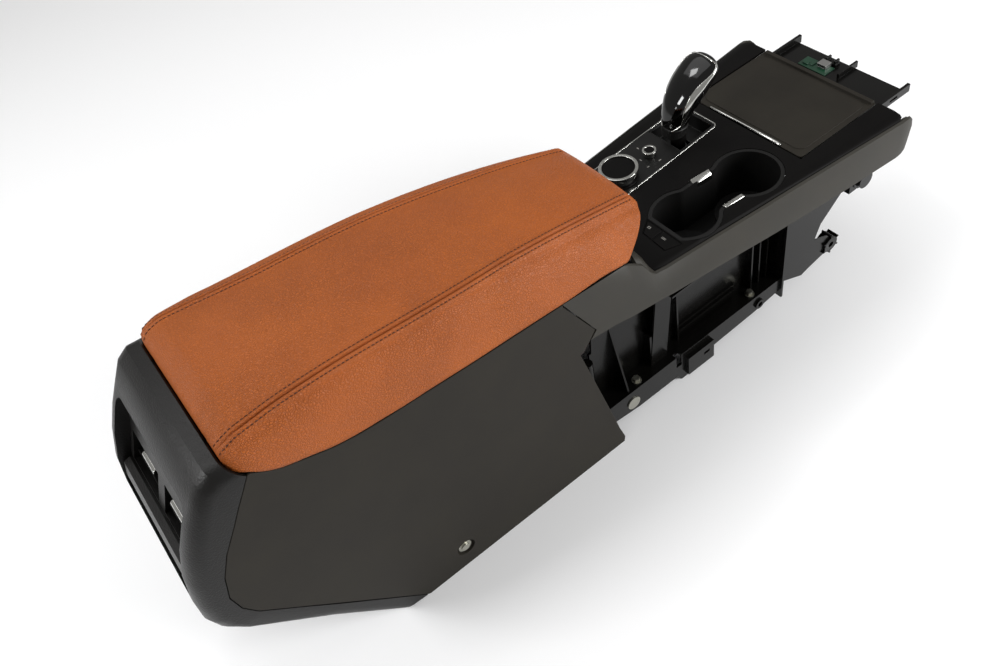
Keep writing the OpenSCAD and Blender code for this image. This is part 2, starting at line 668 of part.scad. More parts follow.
// Selector lever, its foot under the tray and its grip
grip_st = [[-7, 266, 0, 12, 12], [-6, 275, 3, 12.5, 12.5], [-5, 288, 10, 14.5, 14],
  [0, 302, 28, 18, 15], [10, 316, 40, 22, 15], [23, 329, 45, 24.5, 14],
  [35, 340, 47, 25, 12], [43, 347, 48, 22, 9.5], [48, 351.5, 48, 15, 6]];
grip_foot = lever_h * (grip_st[0][1] - 205) / 152;
function grip_ring(s, g) = [for (a = [0:15:345])
  [lever_x + (s[3] + g) * cos(a), lever_y + s[0] + (s[4] + g) * sin(a) * cos(s[2]),
   lever_z + lever_h * (s[1] - 205) / 152 - (s[4] + g) * sin(a) * sin(s[2])]];
module grip_body(g) {
  skin([for (s = grip_st) grip_ring(s, g)]);
}
// Bright band: along one edge of the grip, over its tip and back
band_w = 2.6;
function band_at(x, s, g, d) = [lever_x + x * (s[3] + g),
  lever_y + s[0] + d * cos(s[2]), lever_z + lever_h * (s[1] - 205) / 152 - d * sin(s[2])];
function band_ring(s, x) = [band_at(x, s, 0.5, -band_w), band_at(x, s, 0.9, 0),
  band_at(x, s, 0.5, band_w), band_at(x, s, -1.6, band_w), band_at(x, s, -1.6, -band_w)];
function tip_ring(f) = let(s = grip_st[8]) [for (q = [[-band_w, 1.4], [0, 1.9], [band_w, 1.4],
  [band_w, -0.8], [-band_w, -0.8]]) [lever_x + f, lever_y + s[0] + q[0] * cos(s[2]) +
  q[1] * sin(s[2]), lever_z + lever_h * (s[1] - 205) / 152 - q[0] * sin(s[2]) + q[1] * cos(s[2])]];
module side_band() {
  skin(concat([for (i = [3:7]) band_ring(grip_st[i], 1)], [tip_ring(12), tip_ring(-12)],
    [for (i = [7:-1:3]) band_ring(grip_st[i], -1)]));
}
module neck_band() {
  translate([lever_x, lever_y - 6, lever_z + lever_h * 0.44]) difference() {
    cylinder(h = 4, r = 13.4);
    translate([0, 0, -1]) cylinder(h = 6, r = 11);
  }
}
module lever_grip() {
  color("#0c0c0c") difference() {
    grip_body(0);
    side_band();
    neck_band();
    translate([lever_x, lever_y - 2, lever_z]) cylinder(h = 100, d = 10);
  }
}
module lever_band() {
  color("silver") {
    side_band();
    neck_band();
  }
}
module lever_stem() {
  color("#1c1c1c") {
    x_bar(lever_x - cheek - 3.6, lever_x + cheek + 3.6, lever_y, lever_z, 8);
    x_bar(lever_x - cheek + 0.4, lever_x + cheek - 0.4, lever_y, lever_z, 18);
    translate([lever_x, lever_y - 2, lever_z + 4]) cylinder(h = 90, d = 9.98);
    translate([lever_x, lever_y, lever_z + 30]) cylinder(h = grip_foot - 30, d = 20);
    // Curved shield that stays under the slot of the tray
    intersection() {
      difference() {
        x_bar(lever_x - 18, lever_x + 18, lever_y, lever_z, 56);
        x_bar(lever_x - 19, lever_x + 19, lever_y, lever_z, 52);
      }
      translate([lever_x - 20, lever_y - 23, lever_z + 10]) cube([40, 46, 30]);
    }
    translate([lever_x - 5, lever_y - 3, lever_z + 20]) cube([10, 6, 8]);
  }
}

// Rotary selectors
module rotary_base() {
  color("#141414") translate([knob_x, knob_y, deck_z + 0.2]) difference() {
    cylinder(h = 1.6, d = knob_d - 2);
    cylinder(h = 10, d = spindle_d + 4, center = true);
  }
}
module rotary_knob() {
  color("#202020") translate([knob_x, knob_y, deck_z]) {
    translate([0, 0, 2.1]) cylinder(h = knob_h - 3.2, d = knob_d - 7);
    translate([0, 0, -21]) cylinder(h = 24, d = spindle_d);
  }
}
module rotary_ring() {
  color("silver") translate([knob_x, knob_y, deck_z + 2.1]) rotate_extrude()
    polygon([[knob_d / 2 - 3.48, 0], [knob_d / 2 - 2.4, 0], [knob_d / 2 - 1.2, knob_h * 0.3],
      [knob_d / 2, knob_h * 0.7], [knob_d / 2 - 0.6, knob_h - 1.1],
      [knob_d / 2 - 1.5, knob_h - 0.7], [knob_d / 2 - 3.48, knob_h - 1]]);
}
module rotary_cap() {
  color("#181818") translate([knob_x, knob_y, deck_z + knob_h - 1.08])
    cylinder(h = 1.8, d1 = knob_d - 7.02, d2 = knob_d - 9);
}
module small_knob() {
  color("#181818") translate([small_x, small_y, deck_z]) {
    translate([0, 0, 0.6]) cylinder(h = 8, d = small_knob_d - 5);
    translate([0, 0, -16]) cylinder(h = 17, d = small_spindle_d);
  }
}
module small_ring() {
  color("silver") translate([small_x, small_y, deck_z + 0.6]) rotate_extrude()
    polygon([[small_knob_d / 2 - 2.49, 0], [small_knob_d / 2 - 1.6, 0],
      [small_knob_d / 2, 4], [small_knob_d / 2 - 0.3, 7.4], [small_knob_d / 2 - 1.4, 8.6],
      [small_knob_d / 2 - 2.49, 8.4]]);
}

// Cup pockets
module cup_liner() {
  color("#262626") difference() {
    union() {
      translate([0, 0, deck_z - 3]) linear_extrude(2.4) cup_shape(cup_rim - gap / 2);
      translate([0, 0, deck_z - 6.2]) linear_extrude(3.2 - seat) intersection() {
        cup_shape(cup_rim + 1);
        translate([0, 100]) square([88, 220]);
      }
      translate([0, 0, deck_z - cup_depth - 2.5]) linear_extrude(cup_depth + 1) cup_shape(2.5);
    }
    translate([0, 0, deck_z - cup_depth]) linear_extrude(cup_depth + 1) cup_shape(0);
    // Seats of the bright trims
    for (p = trim_at) trim_body(p, 0.05);
  }
}
trim_at = [[24.5, 213, -4], [82, 207, 176]];
module trim_body(p, d) {
  translate([p[0], p[1], deck_z - 12]) rotate([0, 0, p[2]]) translate([-3 - d, -15 - d, 0])
    cube([6 + 2 * d, 30 + 2 * d, 20]);
}
module cup_trims() {
  color("silver") for (p = trim_at)
    translate([p[0], p[1], deck_z - 12]) rotate([0, 0, p[2]])
      cross_plate(-15, 15) polygon([[-3, 0], [3, 0], [3, 6], [-1.6, 13], [-3, 12.6]]);
}
module mat_dimples() {
  for (a = [0:60:300]) rotate([0, 0, a]) translate([20, 0, 1]) cylinder(h = 3, d = 8);
}
module cup_mats() {
  color("#101010") {
    difference() {
      translate([0, 0, deck_z - cup_depth]) linear_extrude(2) rear_cup(-0.5);
      translate([cup_x, cup_y1, deck_z - cup_depth]) mat_dimples();
    }
    translate([cup_x + 3, cup_y2, deck_z - cup_depth]) difference() {
      cylinder(h = 2, d = cup_d - 1);
      mat_dimples();
    }
  }
}

// Switch bank at the rear of the deck
btn_z = deck_z - 3.6;
btn_x = [[33, 58], [60.5, 88]];
stem_w = 6;
module btn_plan(i, d) {
  intersection() {
    offset(delta = d - 1.6) polygon(switch_pts);
    translate([btn_x[i][0] - d - 10 * (1 - i), 90]) square([btn_x[i][1] - btn_x[i][0] + 2 * d + 10, 40]);
  }
}
module switch_frame() {
  color("#1a1a1a") difference() {
    translate([0, 0, deck_z - 14]) linear_extrude(13.6) offset(delta = -gap / 4) polygon(switch_pts);
    for (i = [0, 1]) {
      translate([0, 0, deck_z - 12]) linear_extrude(20) btn_plan(i, 0.2);
      translate([(btn_x[i][0] + btn_x[i][1]) / 2 - stem_w / 2 - run_gap, 108 - stem_w / 2 - run_gap,
        deck_z - 20]) cube([stem_w + 2 * run_gap, stem_w + 2 * run_gap, 20]);
    }
  }
}
module switch_button(i) {
  color("#202020") {
    translate([0, 0, btn_z]) linear_extrude(3.8) btn_plan(i, -0.1);
    translate([(btn_x[i][0] + btn_x[i][1]) / 2 - stem_w / 2, 108 - stem_w / 2, deck_z - 15])
      cube([stem_w, stem_w, 13]);
  }
}
module button_inner() { switch_button(0); }
module button_outer() { switch_button(1); }

// Front tray with its rails, and the cover that slides over it
bin_x = 78;
module front_bin() {
  color("#242424") difference() {
    union() {
      translate([-cover_x, cover_y0 + 8, deck_z - 21]) cube([2 * cover_x, 185, wall]);
      translate([-bin_x - wall, 330, deck_z - 60]) cube([2 * bin_x + 2 * wall, 100, 40]);
      both() {
        translate([cover_x - 4, cover_y0 + 5, deck_z - 21]) cube([4, 194, 11]);
        translate([cover_x - 4, cover_y0 + 5, deck_z - 21]) cube([8, 120, wall]);
        for (y = [330, 425]) translate([cover_x + 5, y - 6, deck_z - 21]) cube([12, 12, wall]);
        for (y = [330, 425]) translate([103, y, deck_z - 21]) cylinder(h = 19.8 - wall, d = 9);
        translate([cover_x + 3, 326, deck_z - 21]) cube([4, 105, wall]);
      }
      translate([6, 475, deck_z - 20]) cube([3, 37, 9]);
    }
    translate([-bin_x, 333, deck_z - 57]) cube([2 * bin_x, 94, 60]);
    translate([cover_x - 10, 474, deck_z - 17]) cube([20, 14, 3.4]);
  }
}
cover_t = 2.8;
module storage_cover() {
  color("#2b2b2b") difference() {
    union() {
      translate([0, 0, deck_z - cover_t]) linear_extrude(cover_t - 0.8)
        rounded(-cover_x, cover_x, cover_y0, cover_lip, 5);
      translate([0, 0, deck_z - 1.2]) linear_extrude(1.2)
        rounded(-cover_x + 7, cover_x - 7, cover_y0 + 8, cover_lip - 10, 12);
      side_plate(-cover_x + 3, cover_x - 3) polygon([[cover_lip - 8, deck_z - 2],
        [cover_lip - 7, deck_z + 2.2], [cover_lip - 1.5, deck_z + 2.2], [cover_lip - 0.5, deck_z - 2]]);
      // Runners on the rails of the tray
      both() translate([cover_x - 3.6, cover_y0 + 6, deck_z - 9.94])
        cube([3, cover_len - 12, 8]);
    }
    side_plate(-60, 56) polygon([[cover_y0 - 2, deck_z - 0.6], [cover_y0 - 2, deck_z - cover_t - 1],
      [cover_y0 + 3, deck_z - cover_t - 1], [cover_y0 + 3, deck_z - 0.6]]);
  }
}
module cover_handle() {
  color("silver") {
    side_plate(-59.9, 55.9) polygon([[cover_y0 - 1.4, deck_z - 2.4], [cover_y0 + 2.9, deck_z - 2.4],
      [cover_y0 + 2.9, deck_z - 0.4], [cover_y0 + 3.6, deck_z], [cover_y0 + 2.6, deck_z + 1.1],
      [cover_y0 - 0.8, deck_z + 1.1], [cover_y0 - 1.4, deck_z + 0.4]]);
  }
}
board_z = deck_z - 21 + wall;
module circuit_board() {
  color("darkgreen") {
    translate([-52, 468, board_z]) cube([44, 20, 1.6]);
    translate([-48, 472, board_z + 1.5]) cube([8, 6, 1.8]);
    translate([-38, 474, board_z + 1.5]) cube([5, 9, 1.4]);
  }
}
module socket_shell() {
  color("silver") translate([-29, 478, board_z + 1.6]) difference() {
    cube([14, 12, 5]);
    translate([1, -1, 1]) cube([12, 11, 3]);
  }
}
module tray_clip() {
  color("#1a1a1a") translate([-19, 497, board_z]) {
    translate([-9, -5, 0]) cube([18, 9, 3]);
    both() translate([5, -5, 0]) cube([3, 9, 8]);
  }
}

// Inner frame: tub walls, shelf, flange, ribs and the rails under the box
frame_x = 58;
shelf_top = 53;
frame_top = deck_z - 75;
flange_x = 86;
rail_rear = lid_rear_y + 76;
module frame_side() {
  side_plate(frame_x - wall, frame_x) polygon([[-8, 12], [-8, frame_top + 43], [56, frame_top + 43], [96, frame_top],
    [430, frame_top], [399, 141], [365, 110], [356, 86], [330, 50], [300, 20], [300, 12]]);
  translate([frame_x - wall, -8, shelf_top - wall]) cube([flange_x - frame_x + wall, 308, wall]);
  side_plate(flange_x - wall, flange_x) polygon([[-8, 18], [-8, shelf_top], [303, shelf_top],
    [303, 31], [250, 24], [172, 20], [165, 0], [115, 0], [108, 12], [40, 12]]);
  translate([flange_x - 1, 122, 8]) cube([7, 46, 34]);
  // Ribs on the shelf
  cross_plate(25, 27.5) polygon([[frame_x - 1, 50], [84, 50], [frame_x - 1, 168]]);
  side_plate(70, 73) polygon([[74, 51], [101, 51], [116, frame_top], [90, frame_top]]);
  cross_plate(76, 79) polygon([[frame_x - 1, 51], [72, 51], [72, 110], [frame_x - 1, 110]]);
  cross_plate(98, 101) polygon([[frame_x - 1, 51], [72, 51], [72, frame_top], [frame_x - 1, frame_top]]);
  for (y = [128, 258, 272, 286]) cross_plate(y, y + 2.4)
    polygon([[frame_x - 1, 51], [y < 200 ? 66 : 70, 51], [y < 200 ? 66 : 70, frame_top],
      [frame_x - 1, frame_top]]);
  for (z = [62, 72]) translate([frame_x - 1, 135, z]) cube([5, 100, 3]);
  // Front plate with its lug
  side_plate(87, 90) polygon([[299, 50], [337, 32], [350, 36], [397, 46], [404, 60], [385, 72],
    [356, 86], [365, 110], [399, 141], [418, 152], [430, 160], [438, frame_top],
    [300, frame_top]]);
  translate([frame_x - wall, 298, 18]) cube([32 + wall, wall, frame_top - 18 + e]);
  translate([frame_x - wall, 100, frame_top - wall]) cube([93 - frame_x, 338, wall]);
  x_bar(76, 93, 390, 55, 24);
  for (a = [0:60:300]) translate([84, 390, 55]) rotate([a, 0, 0]) translate([-8, -1, 0])
    cube([17, 2, 16]);
  x_bar(flange_x - 1, flange_x + 3, 258, 36, 15);
  // Posts that carry the deck and the front tray
  translate([92, 296, frame_top - wall]) cube([12, 12, 74.2]);
  translate([87, 296, frame_top - wall]) cube([6, 12, wall]);
  translate([72, 340, frame_top - wall]) cube([6, 80, 15 + wall]);
  // Rails and pillars under the storage box
  translate([inner_x - 4.2 - wall, rail_rear, 10]) cube([wall, -12 - rail_rear, 40]);
  translate([frame_x - wall, rail_rear, 10]) cube([inner_x - frame_x - 4.2, 14, 12]);
  translate([frame_x - wall, -176, 10]) cube([inner_x - frame_x - 4.2, 14, 12]);
  translate([frame_x - wall, -26, 10]) cube([inner_x - frame_x - 4.2, 18 + wall, 12]);
  for (y = [rail_rear + 7, -169, -18]) translate([frame_x + 8, y, 15]) cylinder(h = 180, d = 14);
}
module inner_frame() {
  color("#151515") difference() {
    union() {
      both() frame_side();
      for (y = [rail_rear, -176, -26, 60, 170, 286]) translate([-frame_x + 1, y, 10])
        cube([2 * frame_x - 2, 14, 12]);
    }
    on_rim() translate([-200, -300, -box_depth - wall]) cube([400, 614, 400]);
    both() {
      x_bar(inner_x - 14, inner_x, bolt_y, bolt_z, 8);
      translate([64, 88, 40]) cylinder(h = 20, d = 7);
      translate([79, 106, 32]) cube([10, 9, 30]);
      x_bar(flange_x - 5, flange_x + 5, 258, 36, 8);
      x_bar(70, 100, 390, 55, 9);
      x_bar(80, 95, 416, 166, 10);
      translate([flange_x - 5, 150, 26]) cube([15, 10, 5]);
      x_bar(flange_x - 5, flange_x + 5, 30, 30, 9);
      for (p = nut_at) translate([p[0], p[1], shelf_top - 6]) cylinder(h = 10, d = 6.1);
    }
  }
}
nut_at = [[76, 46], [76, 250]];
module clip_nuts() {
  color("silver") both() for (p = nut_at) translate([p[0], p[1], shelf_top - 6]) {
    cylinder(h = 8, d = 6);
    translate([0, 0, 6]) cylinder(h = 1.6, d = 13);
    translate([0, 0, 7.5]) cylinder(h = 5, d = 9, $fn = 6);
  }
}
module frame_bolts() {
  color("silver") both() x_bar(flange_x, flange_x + 1.6, 30, 30, 20);
  color("silver") both() x_bar(flange_x - 4, flange_x + 0.5, 30, 30, 8.98);
}

// Plug of the wiring, clipped to the front plate
module harness_plug() {
  color("#161616") {
    x_bar(90.05, 106, 416, 166, 30);
    x_bar(105.9, 112, 416, 166, 24);
    translate([92, 396, 150]) cube([12, 14, 14]);
    x_bar(84, 91, 416, 166, 9.9);
  }
}
module plug_lever() {
  color("#1f4f9f") difference() {
    x_bar(94, 104, 416, 166, 36);
    x_bar(93, 105, 416, 166, 30.04);
    translate([90, 390, 140]) cube([20, 60, 24]);
  }
}

side_panel_right();
side_panel_left();
panel_bolts();
rear_bezel();
vent_insert();
air_duct();
vane_right_upper();
vane_right_lower();
vane_left_upper();
vane_left_lower();
vane_tab_right();
vane_tab_left();
armrest_box();
box_mat();
hinge_bracket();
hinge_pin();
lid_carrier();
lid_pad();
lid_latch();
latch_pin();
deck_surround();
inner_frame();
frame_bolts();
clip_nuts();
top_bezel();
shifter_panel();
panel_trim();
shifter_well();
shifter_housing();
lever_stem();
lever_grip();
lever_band();
rotary_base();
rotary_knob();
rotary_ring();
rotary_cap();
small_knob();
small_ring();
cup_liner();
cup_mats();
cup_trims();
switch_frame();
button_inner();
button_outer();
front_bin();
storage_cover();
cover_handle();
circuit_board();
socket_shell();
tray_clip();
harness_plug();
plug_lever();
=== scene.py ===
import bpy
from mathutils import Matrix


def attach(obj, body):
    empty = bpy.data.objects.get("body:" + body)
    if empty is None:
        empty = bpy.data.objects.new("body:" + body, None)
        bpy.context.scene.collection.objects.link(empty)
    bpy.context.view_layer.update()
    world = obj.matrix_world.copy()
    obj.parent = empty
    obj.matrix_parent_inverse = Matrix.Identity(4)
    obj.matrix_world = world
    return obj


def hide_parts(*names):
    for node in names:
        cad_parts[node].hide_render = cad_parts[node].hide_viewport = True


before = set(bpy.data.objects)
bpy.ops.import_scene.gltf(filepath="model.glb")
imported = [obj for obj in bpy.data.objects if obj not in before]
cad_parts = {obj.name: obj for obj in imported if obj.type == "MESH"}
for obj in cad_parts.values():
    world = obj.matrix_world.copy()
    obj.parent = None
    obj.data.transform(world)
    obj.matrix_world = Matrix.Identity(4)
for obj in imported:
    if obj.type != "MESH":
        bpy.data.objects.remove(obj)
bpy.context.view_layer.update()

"""Looks of the vehicle centre console: finishes, sewn armrest, rear cap, deck and small hardware."""
import logging
import math
from dataclasses import dataclass
from enum import Enum
from typing import Callable, Sequence

import bmesh
import bpy
import numpy as np
from mathutils import Matrix, Vector

LOG = logging.getLogger("console")
MM = 0.001
Point = tuple[float, float, float]
Place = tuple[float, float, float, float]
Colour = tuple[float, float, float, float]
Table = tuple[tuple[float, float], ...]


# Small tools

def srgb(hex_code: str) -> Colour:
    """Turns an sRGB hex colour to linear.

    Args:
        hex_code: the colour as "#rrggbb".

    Returns:
        Linear red, green, blue and an alpha of one.
    """
    parts = [int(hex_code[i:i + 2], 16) / 255 for i in (1, 3, 5)]
    linear = [c / 12.92 if c <= 0.04045 else ((c + 0.055) / 1.055) ** 2.4 for c in parts]
    return (*linear, 1.0)


def feed(node: bpy.types.Node, values: dict[str | int, object]) -> None:
    """Feeds the inputs of a node.

    Args:
        node: the node.
        values: input name or index to a socket, a node whose first output is meant, or a plain value.
    """
    for key, value in values.items():
        if isinstance(value, bpy.types.Node):
            value = value.outputs[0]
        if isinstance(value, bpy.types.NodeSocket):
            node.id_data.links.new(value, node.inputs[key])
        else:
            node.inputs[key].default_value = value


def put(tree: bpy.types.NodeTree, kind: str, values: dict[str | int, object] | None = None,
        **settings: object) -> bpy.types.Node:
    """Adds a shader node.

    Args:
        tree: the material's node tree.
        kind: the node's type, without the words that all of them begin with.
        values: what feeds its inputs.
        settings: attributes of the node itself.

    Returns:
        The new node.
    """
    made = tree.nodes.new("ShaderNode" + kind)
    for name, value in settings.items():
        setattr(made, name, value)
    feed(made, values or {})
    return made


def smooth_table(table: Sequence[tuple[float, float]], u: np.ndarray | float) -> np.ndarray | float:
    """Reads a table as one smooth curve that never overshoots its points.

    Args:
        table: pairs of position and value, in rising order.
        u: where the value is wanted.

    Returns:
        The value, or an array of values, at u.
    """
    x = np.array([p[0] for p in table], float)
    y = np.array([p[1] for p in table], float)
    h = np.diff(x)
    d = np.diff(y) / h
    m = np.zeros(len(x))
    for i in range(1, len(x) - 1):
        if d[i - 1] * d[i] > 0:
            w1, w2 = 2 * h[i] + h[i - 1], h[i] + 2 * h[i - 1]
            m[i] = (w1 + w2) / (w1 / d[i - 1] + w2 / d[i])
    m[0], m[-1] = d[0], d[-1]
    q = np.clip(u, x[0], x[-1])
    i = np.clip(np.searchsorted(x, q, side="right") - 1, 0, len(h) - 1)
    t = (q - x[i]) / h[i]
    return ((1 + 2 * t) * (1 - t) ** 2 * y[i] + t * (1 - t) ** 2 * h[i] * m[i]
            + t * t * (3 - 2 * t) * y[i + 1] + t * t * (t - 1) * h[i] * m[i + 1])


def mesh_object(name: str, verts: np.ndarray, faces: Sequence[Sequence[int]]) -> bpy.types.Object:
    """Makes an object from points in millimetres, with its faces turned outwards.

    Args:
        name: the piece's name.
        verts: the points, in millimetres.
        faces: the faces by point number.

    Returns:
        The linked object.
    """
    mesh = bpy.data.meshes.new(name)
    mesh.from_pydata([tuple(v) for v in np.asarray(verts) * MM], [], [tuple(f) for f in faces])
    mesh.validate()
    obj = bpy.data.objects.new(name, mesh)
    bpy.context.scene.collection.objects.link(obj)
    bm = bmesh.new()
    bm.from_mesh(mesh)
    bmesh.ops.remove_doubles(bm, verts=bm.verts, dist=1e-6)
    bmesh.ops.recalc_face_normals(bm, faces=bm.faces)
    bm.to_mesh(mesh)
    bm.free()
    mesh.shade_smooth()
    return obj


def grid_faces(rows: int, columns: int, wrap: bool = False) -> list[tuple[int, int, int, int]]:
    """Faces of a grid of points.

    Args:
        rows: how many rows of points.
        columns: how many points in a row.
        wrap: whether each row closes on itself.

    Returns:
        Four point numbers a face.
    """
    last = columns if wrap else columns - 1
    return [(j * columns + i, j * columns + (i + 1) % columns, (j + 1) * columns + (i + 1) % columns,
             (j + 1) * columns + i) for j in range(rows - 1) for i in range(last)]


def only(obj: bpy.types.Object) -> None:
    """Makes obj the one selected and active object."""
    if bpy.context.object and bpy.context.object.mode != "OBJECT":
        bpy.ops.object.mode_set(mode="OBJECT")
    bpy.ops.object.select_all(action="DESELECT")
    obj.select_set(True)
    bpy.context.view_layer.objects.active = obj


def modify(obj: bpy.types.Object, kind: str, **settings: object) -> bpy.types.Modifier:
    """Adds a modifier.

    Args:
        obj: the object.
        kind: the modifier's type.
        settings: its settings.

    Returns:
        The modifier.
    """
    made = obj.modifiers.new(kind.lower(), kind)
    for name, value in settings.items():
        setattr(made, name, value)
    return made


def settle(obj: bpy.types.Object, name: str, smooth: float | None = 30.0) -> bpy.types.Object:
    """Applies place and modifiers, names the piece and smooths its shading.

    Args:
        obj: the piece.
        name: its final name.
        smooth: the angle in degrees under which faces shade as one, or None.

    Returns:
        The same piece, its object at the origin.
    """
    only(obj)
    bpy.ops.object.transform_apply(location=True, rotation=True, scale=True)
    for modifier in list(obj.modifiers):
        bpy.ops.object.modifier_apply(modifier=modifier.name)
    obj.name = obj.data.name = name
    if smooth is not None:
        bpy.ops.object.shade_smooth_by_angle(angle=math.radians(smooth))
    return obj


def add_box(place: Point, size: Point) -> bpy.types.Object:
    """Adds a box, its object at its middle.

    Args:
        place: its middle in millimetres.
        size: its sides in millimetres.

    Returns:
        The box, selected and active.
    """
    bpy.ops.object.select_all(action="DESELECT")
    bpy.ops.mesh.primitive_cube_add(size=1, location=[c * MM for c in place])
    obj = bpy.context.object
    obj.dimensions = [c * MM for c in size]
    bpy.ops.object.transform_apply(location=False, rotation=False, scale=True)
    return obj


def join(parts: Sequence[bpy.types.Object]) -> bpy.types.Object:
    """Joins objects into the first of them and returns it."""
    bpy.ops.object.select_all(action="DESELECT")
    for obj in parts:
        obj.select_set(True)
    bpy.context.view_layer.objects.active = parts[0]
    bpy.ops.object.join()
    return parts[0]


def finish_piece(obj: bpy.types.Object, body: str, material: bpy.types.Material,
                 replaces: Sequence[str] = ()) -> bpy.types.Object:
    """Gives a piece its body and material, and hides what it stands for.

    Args:
        obj: the piece.
        body: the CAD body it moves with.
        material: its finish.
        replaces: CAD nodes that it stands for.

    Returns:
        The same piece.
    """
    obj.data.materials.clear()
    obj.data.materials.append(material)
    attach(obj, body)
    if replaces:
        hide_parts(*replaces)
    LOG.info("%s: %d faces on %s", obj.name, len(obj.data.polygons), body)
    return obj


# Finishes

def blend(tree: bpy.types.NodeTree, factor: object, low: object, high: object) -> bpy.types.NodeSocket:
    """Mixes two colours.

    Args:
        tree: the material's node tree.
        factor: the share of the second colour.
        low: the first colour.
        high: the second colour.

    Returns:
        The socket of the mixed colour.
    """
    made = put(tree, "Mix", {0: factor}, data_type="RGBA")
    pair = [i for i, slot in enumerate(made.inputs) if slot.type == "RGBA"]
    feed(made, dict(zip(pair, (low, high))))
    return [o for o in made.outputs if o.type == "RGBA"][0]


def ramp_between(tree: bpy.types.NodeTree, factor: object, dark: Colour, light: Colour,
                 ends: tuple[float, float] = (0.0, 1.0)) -> bpy.types.Node:
    """A ramp from a dark to a light colour.

    Args:
        tree: the material's node tree.
        factor: what drives it.
        dark: the linear colour at its start.
        light: the linear colour at its end.
        ends: where start and end lie.

    Returns:
        The ramp's node.
    """
    ramp = put(tree, "ValToRGB", {"Fac": factor})
    for stop, at, colour in zip(ramp.color_ramp.elements, ends, (dark, light)):
        stop.position, stop.color = at, colour
    return ramp


def new_material(name: str) -> tuple[bpy.types.Material, bpy.types.NodeTree, bpy.types.Node,
                                     bpy.types.NodeSocket]:
    """Starts a material.

    Args:
        name: its name.

    Returns:
        The material, its tree, its shader and the socket of the Object coordinates.
    """
    mat = bpy.data.materials.new(name)
    mat.use_nodes = True
    tree = mat.node_tree
    return mat, tree, tree.nodes["Principled BSDF"], put(tree, "TexCoord").outputs["Object"]


@dataclass(frozen=True)
class GrainedLeather:
    """Pigmented full-grain leather, embossed: soft pebbles with a satin topcoat."""

    name: str = "grained_tan_leather"
    light: str = "#a8571c"
    dark: str = "#a1521b"
    # Colour of the painted shade in the creases between the pebbles
    crease: str = "#4f250d"
    pebble_mm: float = 1.9
    roughness: float = 0.5

    def build(self) -> bpy.types.Material:
        """Makes the material: cloudy dye, drawn-out pebbles with painted shade in the creases between them,
        and pull marks.
        """
        mat, tree, bsdf, place = new_material(self.name)
        # Dye clouds a few centimetres wide, as drum dyeing leaves them, and finer speckle in them
        cloud = put(tree, "TexNoise", {"Vector": place, "Scale": 13.0, "Detail": 6.0, "Roughness": 0.55})
        wide = put(tree, "MapRange", {"Value": cloud, "From Min": 0.34, "From Max": 0.68})
        dye = blend(tree, wide, srgb(self.dark), srgb(self.light))
        # Pebbles: cells, drawn out across the hide, whose borders are the creases
        lay = put(tree, "Mapping", {"Vector": place, "Rotation": (0.0, 0.0, 0.6), "Scale": (1.0, 0.62, 1.0)})
        warp = put(tree, "TexNoise", {"Vector": place, "Scale": 240.0, "Detail": 2.0})
        push = (0.0022, 0.0022, 0.0022)
        shift = put(tree, "VectorMath", {0: warp.outputs["Color"], 1: push}, operation="MULTIPLY")
        moved = put(tree, "VectorMath", {0: lay, 1: shift}, operation="ADD")
        cell = put(tree, "TexVoronoi", {"Vector": moved, "Scale": 1000.0 / self.pebble_mm, "Randomness": 1.0},
                   feature="DISTANCE_TO_EDGE")
        crease = put(tree, "MapRange", {"Value": cell, "From Min": 0.0, "From Max": 0.28},
                     interpolation_type="SMOOTHSTEP")
        # The hide is tight in places, where the pebbles are shallower
        tight = put(tree, "TexNoise", {"Vector": place, "Scale": 11.0, "Detail": 3.0})
        share = put(tree, "MapRange", {"Value": tight, "From Min": 0.36, "From Max": 0.62, "To Min": 0.65,
                                       "To Max": 1.0})
        gap = put(tree, "Math", {0: 1.0, 1: crease}, operation="SUBTRACT")
        depth = put(tree, "Math", {0: gap, 1: share}, operation="MULTIPLY")
        # Painted shade: the creases are darkened towards the crease colour, most where the pebbles are
        # deepest
        painted_crease_shade = put(tree, "Math", {0: depth, 1: 0.34}, operation="MULTIPLY")
        # Long, faint pull marks of the stretched hide
        pull = put(tree, "TexNoise", {"Vector": place, "Scale": 26.0, "Detail": 3.0, "Distortion": 0.8})
        broad = put(tree, "Bump", {"Height": pull, "Strength": 0.3, "Distance": 0.0014})
        grain = put(tree, "Bump", {"Height": depth, "Strength": 0.9, "Distance": 0.0005, "Normal": broad},
                    invert=True)
        rough = put(tree, "MapRange", {"Value": cloud, "To Min": self.roughness - 0.05,
                                       "To Max": self.roughness + 0.08})
        feed(bsdf, {"Base Color": blend(tree, painted_crease_shade, dye, srgb(self.crease)), "Normal": grain,
                    "Roughness": rough, "Specular IOR Level": 0.32, "IOR": 1.48})
        return mat


@dataclass(frozen=True)
class Moulded:
    """Injection-moulded plastic: its grain is etched in the mould, and its tone drifts a little."""

    name: str
    light: str
    dark: str
    grain_mm: float
    depth_mm: float
    roughness: float
    specular: float = 0.5

    def build(self) -> bpy.types.Material:
        """Makes the material: uneven tone, etched grain and a roughness that varies with handling."""
        mat, tree, bsdf, place = new_material(self.name)
        drift = put(tree, "TexNoise", {"Vector": place, "Scale": 14.0, "Detail": 5.0, "Roughness": 0.65})
        tone = ramp_between(tree, drift, srgb(self.dark), srgb(self.light), (0.35, 0.68))
        span = put(tree, "MapRange", {"Value": drift, "To Min": max(0.02, self.roughness - 0.06),
                                      "To Max": self.roughness + 0.06})
        cell = put(tree, "TexVoronoi", {"Vector": place, "Scale": 1000.0 / self.grain_mm},
                   feature="SMOOTH_F1")
        fine = put(tree, "TexNoise", {"Vector": place, "Scale": 1400.0 / self.grain_mm, "Detail": 2.0})
        both = put(tree, "Math", {0: cell, 1: fine}, operation="ADD")
        grain = put(tree, "Bump", {"Height": both, "Strength": 0.6, "Distance": self.depth_mm * MM})
        feed(bsdf, {"Base Color": tone, "Roughness": span, "Normal": grain, "IOR": 1.5,
                    "Specular IOR Level": self.specular})
        return mat


